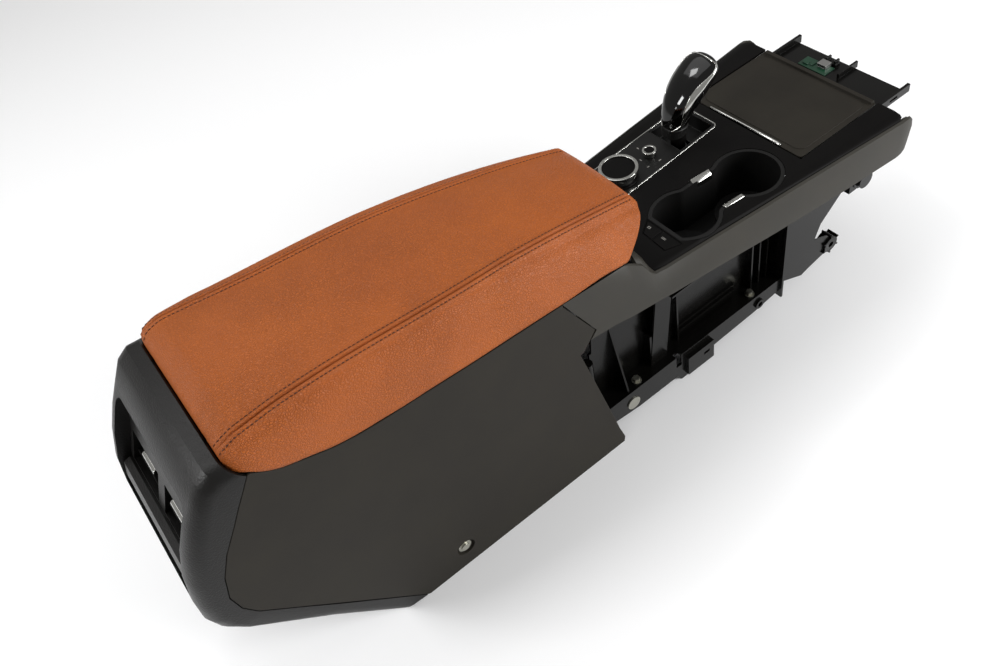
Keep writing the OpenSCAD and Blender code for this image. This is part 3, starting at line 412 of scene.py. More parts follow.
@dataclass(frozen=True)
class Metal:
    """Plated or bare metal: bright, with fine wipe marks."""

    name: str
    colour: str
    roughness: float
    marks_mm: float

    def build(self) -> bpy.types.Material:
        """Makes the material: fully metallic, with fine marks in roughness and bump."""
        mat, tree, bsdf, place = new_material(self.name)
        marks = put(tree, "TexNoise", {"Vector": place, "Scale": 1000.0 / self.marks_mm, "Detail": 3.0})
        span = put(tree, "MapRange", {"Value": marks, "To Min": max(0.03, self.roughness - 0.07),
                                      "To Max": self.roughness + 0.07})
        bump = put(tree, "Bump", {"Height": marks, "Strength": 0.06, "Distance": 0.00002})
        bright = srgb(self.colour)
        worn = (*(0.86 * c for c in bright[:3]), 1.0)
        feed(bsdf, {"Base Color": ramp_between(tree, marks, worn, bright), "Roughness": span, "Normal": bump,
                    "Metallic": 1.0})
        return mat


@dataclass(frozen=True)
class Thread:
    """Bonded polyester thread: twisted, a shade darker than the hide."""

    name: str = "bonded_thread"
    colour: str = "#4a200a"
    shade: str = "#2e1306"

    def build(self) -> bpy.types.Material:
        """Makes the material: dull, with a twist that shows as fine slanted bands."""
        mat, tree, bsdf, place = new_material(self.name)
        twist = put(tree, "TexWave", {"Vector": place, "Scale": 500.0, "Distortion": 1.0}).outputs["Fac"]
        bump = put(tree, "Bump", {"Height": twist, "Strength": 0.4, "Distance": 0.0001})
        feed(bsdf, {"Base Color": ramp_between(tree, twist, srgb(self.shade), srgb(self.colour)),
                    "Normal": bump, "Roughness": 0.7})
        return mat


class Finish(Enum):
    """The finishes of the console, by what each real one is."""

    LEATHER = GrainedLeather()
    THREAD = Thread()
    # Grained polypropylene: etched, so it scatters light to a soft grey
    TRIM = Moulded("grained_black_trim", "#121110", "#0d0c0b", 1.9, 0.3, 0.4, specular=0.26)
    # The same polypropylene on the deck's long sides, polished a little less deep; its lighter colour is
    # painted light
    SKIRT = Moulded("grained_trim_painted_lighter", "#2a2720", "#23211b", 1.1, 0.05, 0.52, specular=0.32)
    # Painted soft-touch panels of the sides: finer and flatter
    PANEL = Moulded("fine_black_panel", "#26231d", "#201d18", 0.7, 0.03, 0.6, specular=0.2)
    # Satin ABS of the deck parts
    SATIN = Moulded("satin_black_abs", "#0c0b0a", "#080707", 0.8, 0.03, 0.5, specular=0.08)
    # Pad-printed insert of the selector panel, under a matt lacquer
    INSERT = Moulded("matt_black_insert", "#100f0f", "#0b0b0a", 0.9, 0.02, 0.5, specular=0.24)
    # Glass-filled nylon of the hidden frame: slick, with flow marks
    FRAME = Moulded("plain_black_moulding", "#090807", "#050504", 2.5, 0.03, 0.22, specular=0.24)
    # Piano-black lacquer over ABS
    LACQUER = Moulded("piano_black_lacquer", "#040404", "#020202", 6.0, 0.001, 0.06, specular=0.4)
    MAT = Moulded("black_rubber_mat", "#111111", "#0a0a0a", 0.8, 0.05, 0.8)
    CHROME = Metal("satin_chrome", "#c2c2be", 0.14, 1.5)
    ZINC = Metal("zinc_plated_steel", "#b9b8ad", 0.34, 0.9)
    # Pad-printing ink, a dull warm grey
    INK = Moulded("printed_grey_ink", "#8f8d88", "#7f7d78", 0.5, 0.004, 0.7)
    STEEL = Metal("plain_steel", "#a8a8a6", 0.38, 0.5)
    BOARD = Moulded("green_board_lacquer", "#12402a", "#0c3020", 3.0, 0.02, 0.3)
    BLUE = Moulded("blue_nylon", "#1d4fa3", "#173f84", 1.0, 0.01, 0.4)


class Wardrobe:
    """Builds each finish once and hands it out."""

    def __init__(self) -> None:
        """Starts empty."""
        self.made: dict[Finish, bpy.types.Material] = {}

    def get(self, finish: Finish) -> bpy.types.Material:
        """The material of a finish, made when it is first asked for."""
        if finish not in self.made:
            self.made[finish] = finish.value.build()
        return self.made[finish]


NODE_FINISH: dict[Finish, tuple[str, ...]] = {
    Finish.PANEL: ("side_panel_right", "side_panel_left", "storage_cover"),
    Finish.TRIM: ("rear_bezel", "vent_insert"),
    # The deck surround takes the lighter copy of the trim polypropylene: painted light
    Finish.SKIRT: ("deck_surround",),
    Finish.SATIN: ("top_bezel", "switch_frame", "button_inner", "button_outer",
                   "rotary_base", "rotary_knob", "rotary_cap", "small_knob", "lever_stem", "lid_latch",
                   "vane_right_upper", "vane_right_lower", "vane_left_upper", "vane_left_lower"),
    Finish.FRAME: ("air_duct", "armrest_box", "lid_carrier", "inner_frame", "shifter_housing", "front_bin",
                   "tray_clip", "harness_plug"),
    Finish.INSERT: ("shifter_panel", "shifter_well", "cup_liner"),
    Finish.LACQUER: ("lever_grip",),
    Finish.MAT: ("box_mat", "cup_mats"),
    Finish.CHROME: ("vane_tab_right", "vane_tab_left", "panel_trim", "lever_band", "rotary_ring",
                    "small_ring", "cup_trims", "cover_handle"),
    Finish.ZINC: ("panel_bolts", "frame_bolts", "clip_nuts"),
    Finish.STEEL: ("hinge_bracket", "hinge_pin", "latch_pin", "socket_shell"),
    Finish.BOARD: ("circuit_board",),
    Finish.BLUE: ("plug_lever",),
    Finish.LEATHER: ("lid_pad",),
}

# Width in millimetres that the mould rounds each part's edges to
EDGE_NODES: dict[float, tuple[str, ...]] = {
    0.2: ("circuit_board", "socket_shell"),
    0.3: ("panel_trim", "shifter_panel", "vane_right_upper", "vane_right_lower", "vane_left_upper",
          "vane_left_lower"),
    0.4: ("switch_frame", "cover_handle", "panel_bolts", "rotary_base", "tray_clip", "plug_lever",
          "hinge_bracket"),
    0.5: ("button_inner", "button_outer", "cup_trims", "inner_frame"),
    0.6: ("front_bin", "harness_plug"),
    0.7: ("storage_cover", "vane_tab_right", "vane_tab_left"),
    0.8: ("side_panel_right", "side_panel_left", "cup_liner", "shifter_well", "armrest_box"),
    0.9: ("top_bezel",),
    1.0: ("vent_insert",),
}
EDGE_MM = {name: width for width, names in EDGE_NODES.items() for name in names}


def dress_nodes(wardrobe: Wardrobe) -> None:
    """Gives every CAD node its finish and, where a mould would, rounded edges.

    Args:
        wardrobe: hands out the finishes.
    """
    for finish, names in NODE_FINISH.items():
        for name in names:
            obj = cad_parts[name]
            obj.data.materials.clear()
            obj.data.materials.append(wardrobe.get(finish))
            obj.data.polygons.foreach_set("use_smooth", [True] * len(obj.data.polygons))
            modify(obj, "WELD", merge_threshold=2e-6)
            width = EDGE_MM.get(name)
            if width:
                modify(obj, "DECIMATE", decimate_type="DISSOLVE", angle_limit=math.radians(1.0))
                modify(obj, "BEVEL", width=width * MM, segments=2, limit_method="ANGLE",
                       angle_limit=math.radians(38), use_clamp_overlap=True)
                modify(obj, "WEIGHTED_NORMAL", keep_sharp=True)
            else:
                modify(obj, "EDGE_SPLIT", split_angle=math.radians(32))
    LOG.info("dressed %d CAD nodes", sum(len(v) for v in NODE_FINISH.values()))


# The armrest cushion

@dataclass
class Cushion:
    """Foam pad under sewn leather: a top panel and a border that meet in a felled seam on each side."""

    rear_y: float = -412.0
    rear_z: float = 411.0
    length: float = 490.0
    side_x: float = 106.0
    crown: float = 7.0
    shoulder: float = 9.0
    hide: float = 1.6
    # The hem, turned under and up inside
    rim: float = 10.0
    hem_height: float = 12.0
    # The felled seam: its rows of stitches either side, the fold they hold, its two ridges and its groove
    band: float = 5.2
    pitch: float = 4.4
    station: float = 2.2
    fold_height: float = 1.1
    ridge_height: float = 0.9
    groove_depth: float = 2.0
    stitch_depth: float = 1.2
    hollow: float = 2.8
    belly: float = 1.2
    # The slots for the arms of the hinge bracket
    hinge_arm_x: float = 60.0
    slot_width: float = 7.0
    slot_depth: float = 25.0
    slot_height: float = 40.0
    slot_back: float = 4.0
    slot_drop: float = 11.7
    end_stations: tuple[float, ...] = (0, 0.5, 1.2, 2, 3, 4.5, 6.5, 9)
    left_seam_at: tuple[float, ...] = (0, 60, 120, 350, 430, 490)
    left_seam_in: tuple[float, ...] = (0, 7, 10, 10, 5, 0)
    seam_in: Table = (
        (0, 21), (10, 18), (26, 18.3), (52, 20.1), (87, 22.6), (132, 24.2), (187, 24.8), (232, 25.8),
        (272, 28.2), (315, 32), (362, 35.8), (412, 40.5), (448, 44.3), (474, 47.5), (490, 49.5))
    edge_in: Table = (
        (0, 14), (1, 11), (3, 7.5), (7, 4), (13, 1.5), (22, 0), (352, 0), (412, 3), (437, 6), (446, 9),
        (458, 14), (470, 20), (480, 26), (486, 32), (490, 40))
    seam_up: Table = (
        (0, -14), (1, -8.8), (3, -5.3), (7, -1.9), (14, 1.0), (26, 3.4), (52, 3.5), (87, 1.4), (132, -2.2),
        (187, -7.8), (232, -13.2), (272, -18.9), (315, -25.9), (362, -35.7), (412, -48.3), (448, -58.5),
        (474, -66.5), (485, -70.5), (490, -74))
    edge_up: Table = (
        (0, -23), (8, -27), (15, -31), (25, -40), (38, -49), (63, -59), (87, -68), (110, -73), (135, -76),
        (161, -79), (189, -81), (248, -86), (297, -89), (351, -93), (400, -97), (437, -106.5), (446, -110.5),
        (458, -103), (470, -95.5), (480, -87), (486, -81), (490, -77))

    def stations(self) -> np.ndarray:
        """Positions of the rings from the rear end, closer together at both ends."""
        middle = np.arange(12, self.length - 12, self.station)
        front = [self.length - e for e in reversed(self.end_stations)]
        return np.array([*self.end_stations, *middle, *front])

    def corners(self, u: float) -> tuple[float, float, float, float, float, float]:
        """Where the form turns at one station.

        Args:
            u: the distance from the rear end.

        Returns:
            x and z of the seam, of the corner beyond the shoulder, and of the lower edge.
        """
        ws, we = (self.side_x - smooth_table(t, u) for t in (self.seam_in, self.edge_in))
        zs, zb = (self.rear_z + smooth_table(t, u) for t in (self.seam_up, self.edge_up))
        # The felled seam lies flat on the shoulder, and the border falls away just beyond it
        return ws, zs, ws + min(self.shoulder, 0.5 * (we - ws)), zs - min(1.6, 0.15 * (zs - zb)), we, zb

    def base(self, u: float, d: np.ndarray) -> np.ndarray:
        """Points of the plain form at one station.

        Args:
            u: the distance from the rear end.
            d: signed distance from the shoulder, less than nought down the side.

        Returns:
            Rows of x and z.
        """
        ws, zs, xc, zc, we, zb = self.corners(u)
        side = 40
        t = np.linspace(1, 0, side)
        arc = np.radians(90 * t)
        sx = 0.7 * (xc + (we - xc) * t) + 0.3 * (xc + (we - xc) * np.sin(arc))
        sz = 0.7 * (zc + (zb - zc) * t) + 0.3 * (zb + (zc - zb) * np.cos(arc))
        lift = self.crown * min(1, u / 26, (self.length - u + 8) / 20)
        k = np.linspace(1, 0, 60)[1:]
        tx, tz = k * ws, zs + lift * (1 - k * k)
        x, z = np.concatenate([sx, [ws], tx]), np.concatenate([sz, [zs], tz])
        s = np.concatenate([[0], np.cumsum(np.hypot(np.diff(x), np.diff(z)))])
        # The shoulder is a round of a few millimetres
        reach = np.array([-4, -2, 0, 2, 4], float)
        near = np.clip(1 - np.abs(s[side] + d - s[side - 1]) / 13, 0, 1)[:, None]
        at = s[side] + d[:, None] + reach[None, :] * near
        return np.stack([np.interp(at, s, x).mean(1), np.interp(at, s, z).mean(1)], 1)

    def lengths(self, u: float) -> tuple[float, float]:
        """Arc lengths of side and half top at one station."""
        ws, zs, xc, zc, we, zb = self.corners(u)
        return float(np.hypot(we - xc, zc - zb) * 1.01 + np.hypot(xc - ws, zs - zc)), float(ws)

    def shift(self, u: float, left: bool) -> float:
        """How much further in the left seam lies than the right one."""
        return float(np.interp(u, self.left_seam_at, self.left_seam_in)) if left else 0.0

    def relief(self, d: np.ndarray, u: float, shift: float = 0.0) -> np.ndarray:
        """Height of the felled seam over the plain form.

        Args:
            d: signed distance from the shoulder.
            u: the distance from the rear end, for the dimples between stitches.
            shift: how far in from the shoulder the seam lies.

        Returns:
            Heights in millimetres.
        """
        a = np.abs(d - shift)
        fold = self.fold_height / (1 + np.exp((a - self.band - 1.3) * 2.2))
        roll = self.ridge_height * np.exp(-((a - 2.5) / 1.4) ** 2)
        groove = -self.groove_depth * np.exp(-(a / 0.9) ** 2)
        dimple = 0.6 + 0.4 * math.cos(2 * math.pi * u / self.pitch)
        rows = -self.stitch_depth * dimple * np.exp(-((a - self.band) / 0.8) ** 2)
        # The border is pulled in under the seam and bellies out again lower down
        under = -self.hollow * np.exp(-((d + 15) / 5.5) ** 2) + self.belly * np.exp(-((d + 46) / 20) ** 2)
        return fold + roll + groove + rows + np.where(d < -6, under, under * np.clip(-d / 6, 0, 1))

    def columns(self, u: float, shift: float = 0.0) -> np.ndarray:
        """Signed distances of the ring's points from the shoulder, closest together over the seam."""
        side, top = self.lengths(u)
        fit = min(1.0, 0.6 * side / 16)
        near = np.concatenate([np.linspace(-16 * fit, shift - 7 * fit, 10)[:-1],
                               shift + np.arange(-7, 7.01, 0.5) * fit, shift + np.arange(8.25, 12.1, 1.25)])
        below = np.linspace(-side, -16 * fit, 14)[:-1]
        above = np.linspace(shift + 12, top, 24)[1:]
        return np.concatenate([below, near, above])

    def half_ring(self, u: float, left: bool = False) -> tuple[np.ndarray, np.ndarray]:
        """Half of a ring from rim to middle.

        Args:
            u: the distance from the rear end.
            left: whether it is the left half.

        Returns:
            Rows of x, y, z on the outside, and as many on the inside of the cover.
        """
        shift = self.shift(u, left)
        d = self.columns(u, shift)
        flat = self.base(u, d)
        step = np.gradient(flat, axis=0)
        normal = np.stack([-step[:, 1], step[:, 0]], 1)
        normal *= np.sign(normal[:, :1] + normal[:, 1:] + 1e-9)
        normal /= np.linalg.norm(normal, axis=1, keepdims=True)
        # The seam is pressed lower towards the rear end, where the open lid comes close to the rear cap
        fade = min(1.0, 0.3 + u / 45, u / 4, (self.length - u) / 4)
        bump = self.relief(d, u, shift) * fade
        lining = flat - normal * (self.hide + np.maximum(-bump, 0))[:, None]
        flat = flat + normal * bump[:, None]
        y = self.rear_y + u
        edge = np.column_stack([flat[:, 0], np.full(len(flat), y), flat[:, 1]])
        x0, z0 = edge[0, 0], edge[0, 2]
        # The hem is low at both ends, where the cover is too, so it never shows over them
        hem = min(self.hem_height, 1.5 + 0.4 * max(0.0, min(u, self.length - u) - 3))
        count = len(lining)
        from_hem = np.linspace(np.interp(z0 + hem, lining[:, 1], np.arange(count)), count - 1, count)
        lining = np.stack([np.interp(from_hem, np.arange(count), lining[:, k]) for k in (0, 1)], 1)
        deep = self.rear_y + min(max(u, self.hide), self.length - self.hide)
        inside = np.column_stack([lining[:, 0], np.full(count, deep), lining[:, 1]])
        xr = x0 - self.rim
        turn = np.array([[min(xr, lining[0, 0] - 1.5), y, z0 + hem], [xr, y, z0 + 0.12 * hem],
                         [xr + 1.5, y, z0], [x0 - 2.0, y, z0 - 0.2]])
        mirror = np.array([-1.0 if left else 1.0, 1.0, 1.0])
        return np.vstack([turn, edge]) * mirror, inside * mirror

    def seam_point(self, u: float, offset: float, left: bool = False) -> tuple[Vector, Vector]:
        """Where a stitch lies and which way is out, as if on the right."""
        d = self.shift(u, left) + np.array([offset - 0.4, offset, offset + 0.4])
        flat = self.base(u, d)
        out = np.array([-(flat[2, 1] - flat[0, 1]), flat[2, 0] - flat[0, 0]])
        out /= np.linalg.norm(out)
        if out[1] < 0:
            out = -out
        lift = float(self.relief(np.array([offset]), 0.5 * self.pitch)[0]) + 0.05
        spot = flat[1] + out * lift
        return Vector((spot[0], self.rear_y + u, spot[1])), Vector((out[0], 0, out[1]))

    def build_leather(self) -> bpy.types.Object:
        """The sewn cover as one closed skin with its rim turned under."""
        rings = []
        for u in self.stations():
            for right, left in zip(self.half_ring(float(u)), self.half_ring(float(u), left=True)):
                rings.append(np.vstack([right, left[::-1][1:]]))
        outer, inner = len(rings[0]), len(rings[1])
        loop = outer + inner
        # Each ring runs over the outside and back along the lining, so the cover is one closed wall
        verts = [np.vstack([rings[i], rings[i + 1][::-1]]) for i in range(0, len(rings), 2)]
        faces = grid_faces(len(verts), loop, wrap=True)
        # Each end is closed outside and inside, along its foot, and where the hem ends on both sides
        turned = 4
        for start in (0, (len(verts) - 1) * loop):
            for first, count, low in ((start, outer, turned), (start + outer, inner, 0)):
                faces += [(first + i, first + i + 1, first + count - 2 - i, first + count - 1 - i)
                          for i in range(low, count // 2 - 1)]
                faces.append((first + count // 2 - 1, first + count // 2, first + count // 2 + 1))
            faces.append((start + turned, start + outer - 1 - turned, start + outer, start + loop - 1))
            faces.append((*range(start, start + turned + 1), start + loop - 1))
            faces.append(tuple(range(start + outer - 1 - turned, start + outer + 1)))
        cover = mesh_object("armrest_cushion", np.vstack(verts), faces)
        self.cut_hinge_slots(cover)
        return cover

    def cut_hinge_slots(self, cover: bpy.types.Object) -> None:
        """Cuts the two slots at the rear end through which the arms of the hinge bracket pass."""
        boxes = []
        y = self.rear_y - self.slot_back + self.slot_depth / 2
        z = self.rear_z - self.slot_drop - self.slot_height / 2
        for side in (-1, 1):
            bpy.ops.object.select_all(action="DESELECT")
            bpy.ops.mesh.primitive_cube_add(size=MM)
            box = bpy.context.object
            box.scale = (self.slot_width, self.slot_depth, self.slot_height)
            box.location = (side * self.hinge_arm_x * MM, y * MM, z * MM)
            bpy.ops.object.transform_apply(location=True, scale=True)
            boxes.append(box)
        cutter = join(boxes[::-1])
        only(cover)
        cut = modify(cover, "BOOLEAN", operation="DIFFERENCE", solver="EXACT", object=cutter, use_self=True)
        bpy.ops.object.modifier_apply(modifier=cut.name)
        bpy.data.objects.remove(cutter)

    def build_thread(self) -> bpy.types.Object:
        """Four rows of one stitch, a short capsule whose ends dip into the leather."""
        thick, long, taper = 0.5, 3.2, 0.45
        bpy.ops.object.select_all(action="DESELECT")
        bpy.ops.mesh.primitive_cylinder_add(vertices=6, radius=thick, depth=long,
                                            rotation=(math.pi / 2, 0, 0))
        one = bpy.context.object
        bpy.ops.object.transform_apply(rotation=True)
        bpy.ops.object.mode_set(mode="EDIT")
        bpy.ops.mesh.select_all(action="SELECT")
        bpy.ops.mesh.subdivide(number_cuts=1)
        bpy.ops.object.mode_set(mode="OBJECT")
        co = np.array([v.co for v in one.data.vertices])
        end = np.clip(np.abs(co[:, 1]) / 1.65, 0, 1)
        co[:, 0] *= 1 - taper * end ** 3
        co[:, 2] = co[:, 2] * (1 - taper * end ** 3) - taper * end ** 2
        shape = [tuple(p.vertices) for p in one.data.polygons]
        bpy.data.objects.remove(one)
        verts, faces = [], []
        for sign in (1, -1):
            for offset in (self.band, -self.band):
                for u in np.arange(3.0, self.length - 3.0, self.pitch):
                    spot, out = self.seam_point(float(u), offset, sign < 0)
                    ahead, _ = self.seam_point(float(u) + 1.0, offset, sign < 0)
                    along = (ahead - spot).normalized()
                    across = along.cross(out).normalized()
                    up = across.cross(along)
                    basis = np.array([across, along, up])
                    place = co @ basis + np.array(spot)
                    place[:, 0] *= sign
                    start = len(verts) * len(co)
                    verts.append(place)
                    faces += [tuple(start + i for i in f) for f in shape]
        return mesh_object("seam_thread", np.vstack(verts), faces)

    def dress(self, wardrobe: Wardrobe) -> None:
        """Builds cover and thread and gives them their finishes."""
        cover = self.build_leather()
        finish_piece(cover, "lid", wardrobe.get(Finish.LEATHER), ["lid_pad"])
        finish_piece(self.build_thread(), "lid", wardrobe.get(Finish.THREAD))


# The selector lever

@dataclass
class Lever:
    """Grip of the selector lever: lacquered insert in a chrome frame, over a satin sleeve."""

    x: float = -50.0
    y: float = 248.0
    pivot_z: float = 205.0
    rows: tuple[tuple[float, float, float, float, float], ...] = (
        (-7, 61, 0, 13, 13), (-6, 70, 3, 14, 13.5), (-4, 82, 10, 17, 14.5), (1, 95, 28, 20.5, 15),
        (11, 108, 40, 23.5, 15), (24, 119.5, 45, 25, 14), (36, 129, 47, 25, 12), (44.5, 135, 48, 22, 9.5),
        (49.5, 139, 48, 15, 6))
    # Half widths of the chrome frame by row, and its share on the far side
    bead: Table = (
        (0, 1.3), (2, 1.7), (3.2, 3.8), (4.6, 4.2), (6, 2.2), (8, 0.9))
    far_share: float = 0.55

    def surface(self, t: float, angle: float, out: float = 0.0) -> np.ndarray:
        """Point of the grip.

        Args:
            t: the row, from 0 at the foot to 8 at the tip, in between as well.
            angle: round the grip in degrees, -90 towards the rear.
            out: distance outside the surface in millimetres.

        Returns:
            The point in millimetres.
        """
        dy, dz, lean, rx, ry = (float(smooth_table([(i, row[k]) for i, row in enumerate(self.rows)], t))
                                for k in range(5))
        a, tilt = math.radians(angle), math.radians(lean)
        c, s = math.cos(a), math.sin(a)
        square = (abs(c) ** 2.5 + abs(s) ** 2.5) ** (-1 / 2.5)
        across, along = (rx + out) * c * square, (ry + out) * s * square
        return np.array([self.x + across, self.y + dy + along * math.cos(tilt),
                         self.pivot_z + dz - along * math.sin(tilt)])

    def outward(self, t: float, angle: float) -> np.ndarray:
        """Unit normal of the grip at a point of it."""
        du = self.surface(min(t + 0.05, 8), angle) - self.surface(max(t - 0.05, 0), angle)
        da = self.surface(t, angle + 1) - self.surface(t, angle - 1)
        n = np.cross(da, du)
        return n / np.linalg.norm(n)

    def body(self, name: str, start: float, end: float, out: float, closed_tip: bool) -> bpy.types.Object:
        """A stretch of the grip as a closed mesh.

        Args:
            name: the piece's name.
            start: its first row.
            end: its last row.
            out: how far it stands outside the plain grip.
            closed_tip: whether its end is rounded over.

        Returns:
            The piece.
        """
        turns = np.arange(0, 360, 9)
        rings = [[self.surface(t, a, out) for a in turns] for t in np.linspace(start, end, 44)]
        rings.insert(0, [p * 0.9 + np.mean(rings[0], axis=0) * 0.1 for p in rings[0]])
        if closed_tip:
            last = np.array(rings[-1])
            middle = last.mean(0)
            for shrink, lift in ((0.86, 1.3), (0.66, 2.4), (0.4, 3.2), (0.15, 3.5)):
                rings.append(list(middle + (last - middle) * shrink + np.array([0, 0.74, 0.67]) * lift))
        count = len(turns)
        faces = grid_faces(len(rings), count, wrap=True)
        faces += [tuple(range(count)), tuple(range((len(rings) - 1) * count, len(rings) * count))]
        return mesh_object(name, np.array(rings).reshape(-1, 3), faces)

    def frame_line(self) -> list[tuple[float, float, float]]:
        """Rows, angles and half widths along the chrome frame, once round."""
        low, high, near, far = 1.9, 7.5, -16.0, -164.0
        across = far - near
        side = [(t, near - 18.0 * math.exp(-((t - 4.2) / 1.5) ** 2)) for t in np.linspace(high, low, 30)]
        foot = [(low - 0.95 * math.sin(math.pi * f), near + across * f) for f in np.linspace(0, 1, 21)[1:-1]]
        back = [(t, far) for t in np.linspace(low, high, 22)]
        top = [(high + 0.35 * math.sin(math.pi * f), far - across * f) for f in np.linspace(0, 1, 17)[1:-1]]
        return [(t, a, (1.0 if a > -90 else self.far_share) * float(smooth_table(self.bead, t)))
                for t, a in side + foot + back + top]

    def chrome(self) -> bpy.types.Object:
        """The frame: a low oval bead laid along its line on the grip."""
        line = self.frame_line()
        points = np.array([self.surface(t, a) for t, a, _ in line])
        rings = []
        for i, (t, a, wide) in enumerate(line):
            ahead = points[(i + 1) % len(points)] - points[i - 1]
            ahead /= np.linalg.norm(ahead)
            out = self.outward(t, a)
            across = np.cross(ahead, out)
            across /= np.linalg.norm(across)
            rings.append([points[i] + across * wide * math.cos(b) + out * (1.15 * math.sin(b) + 0.25)
                          for b in np.radians(np.arange(0, 360, 30))])
        rings.append(rings[0])
        faces = grid_faces(len(rings), len(rings[0]), wrap=True)
        return mesh_object("lever_frame", np.array(rings).reshape(-1, 3), faces)

    def dress(self, wardrobe: Wardrobe) -> None:
        """Builds grip, sleeve and frame and gives them their finishes."""
        finish_piece(self.body("lever_insert", 0.8, 8.0, 0.0, True), "lever",
                     wardrobe.get(Finish.LACQUER), ["lever_grip"])
        finish_piece(self.body("lever_sleeve", 0.0, 1.25, 1.6, False), "lever",
                     wardrobe.get(Finish.INSERT), ["lever_grip"])
        finish_piece(self.chrome(), "lever", wardrobe.get(Finish.CHROME), ["lever_band"])


# Bright and printed details of the deck

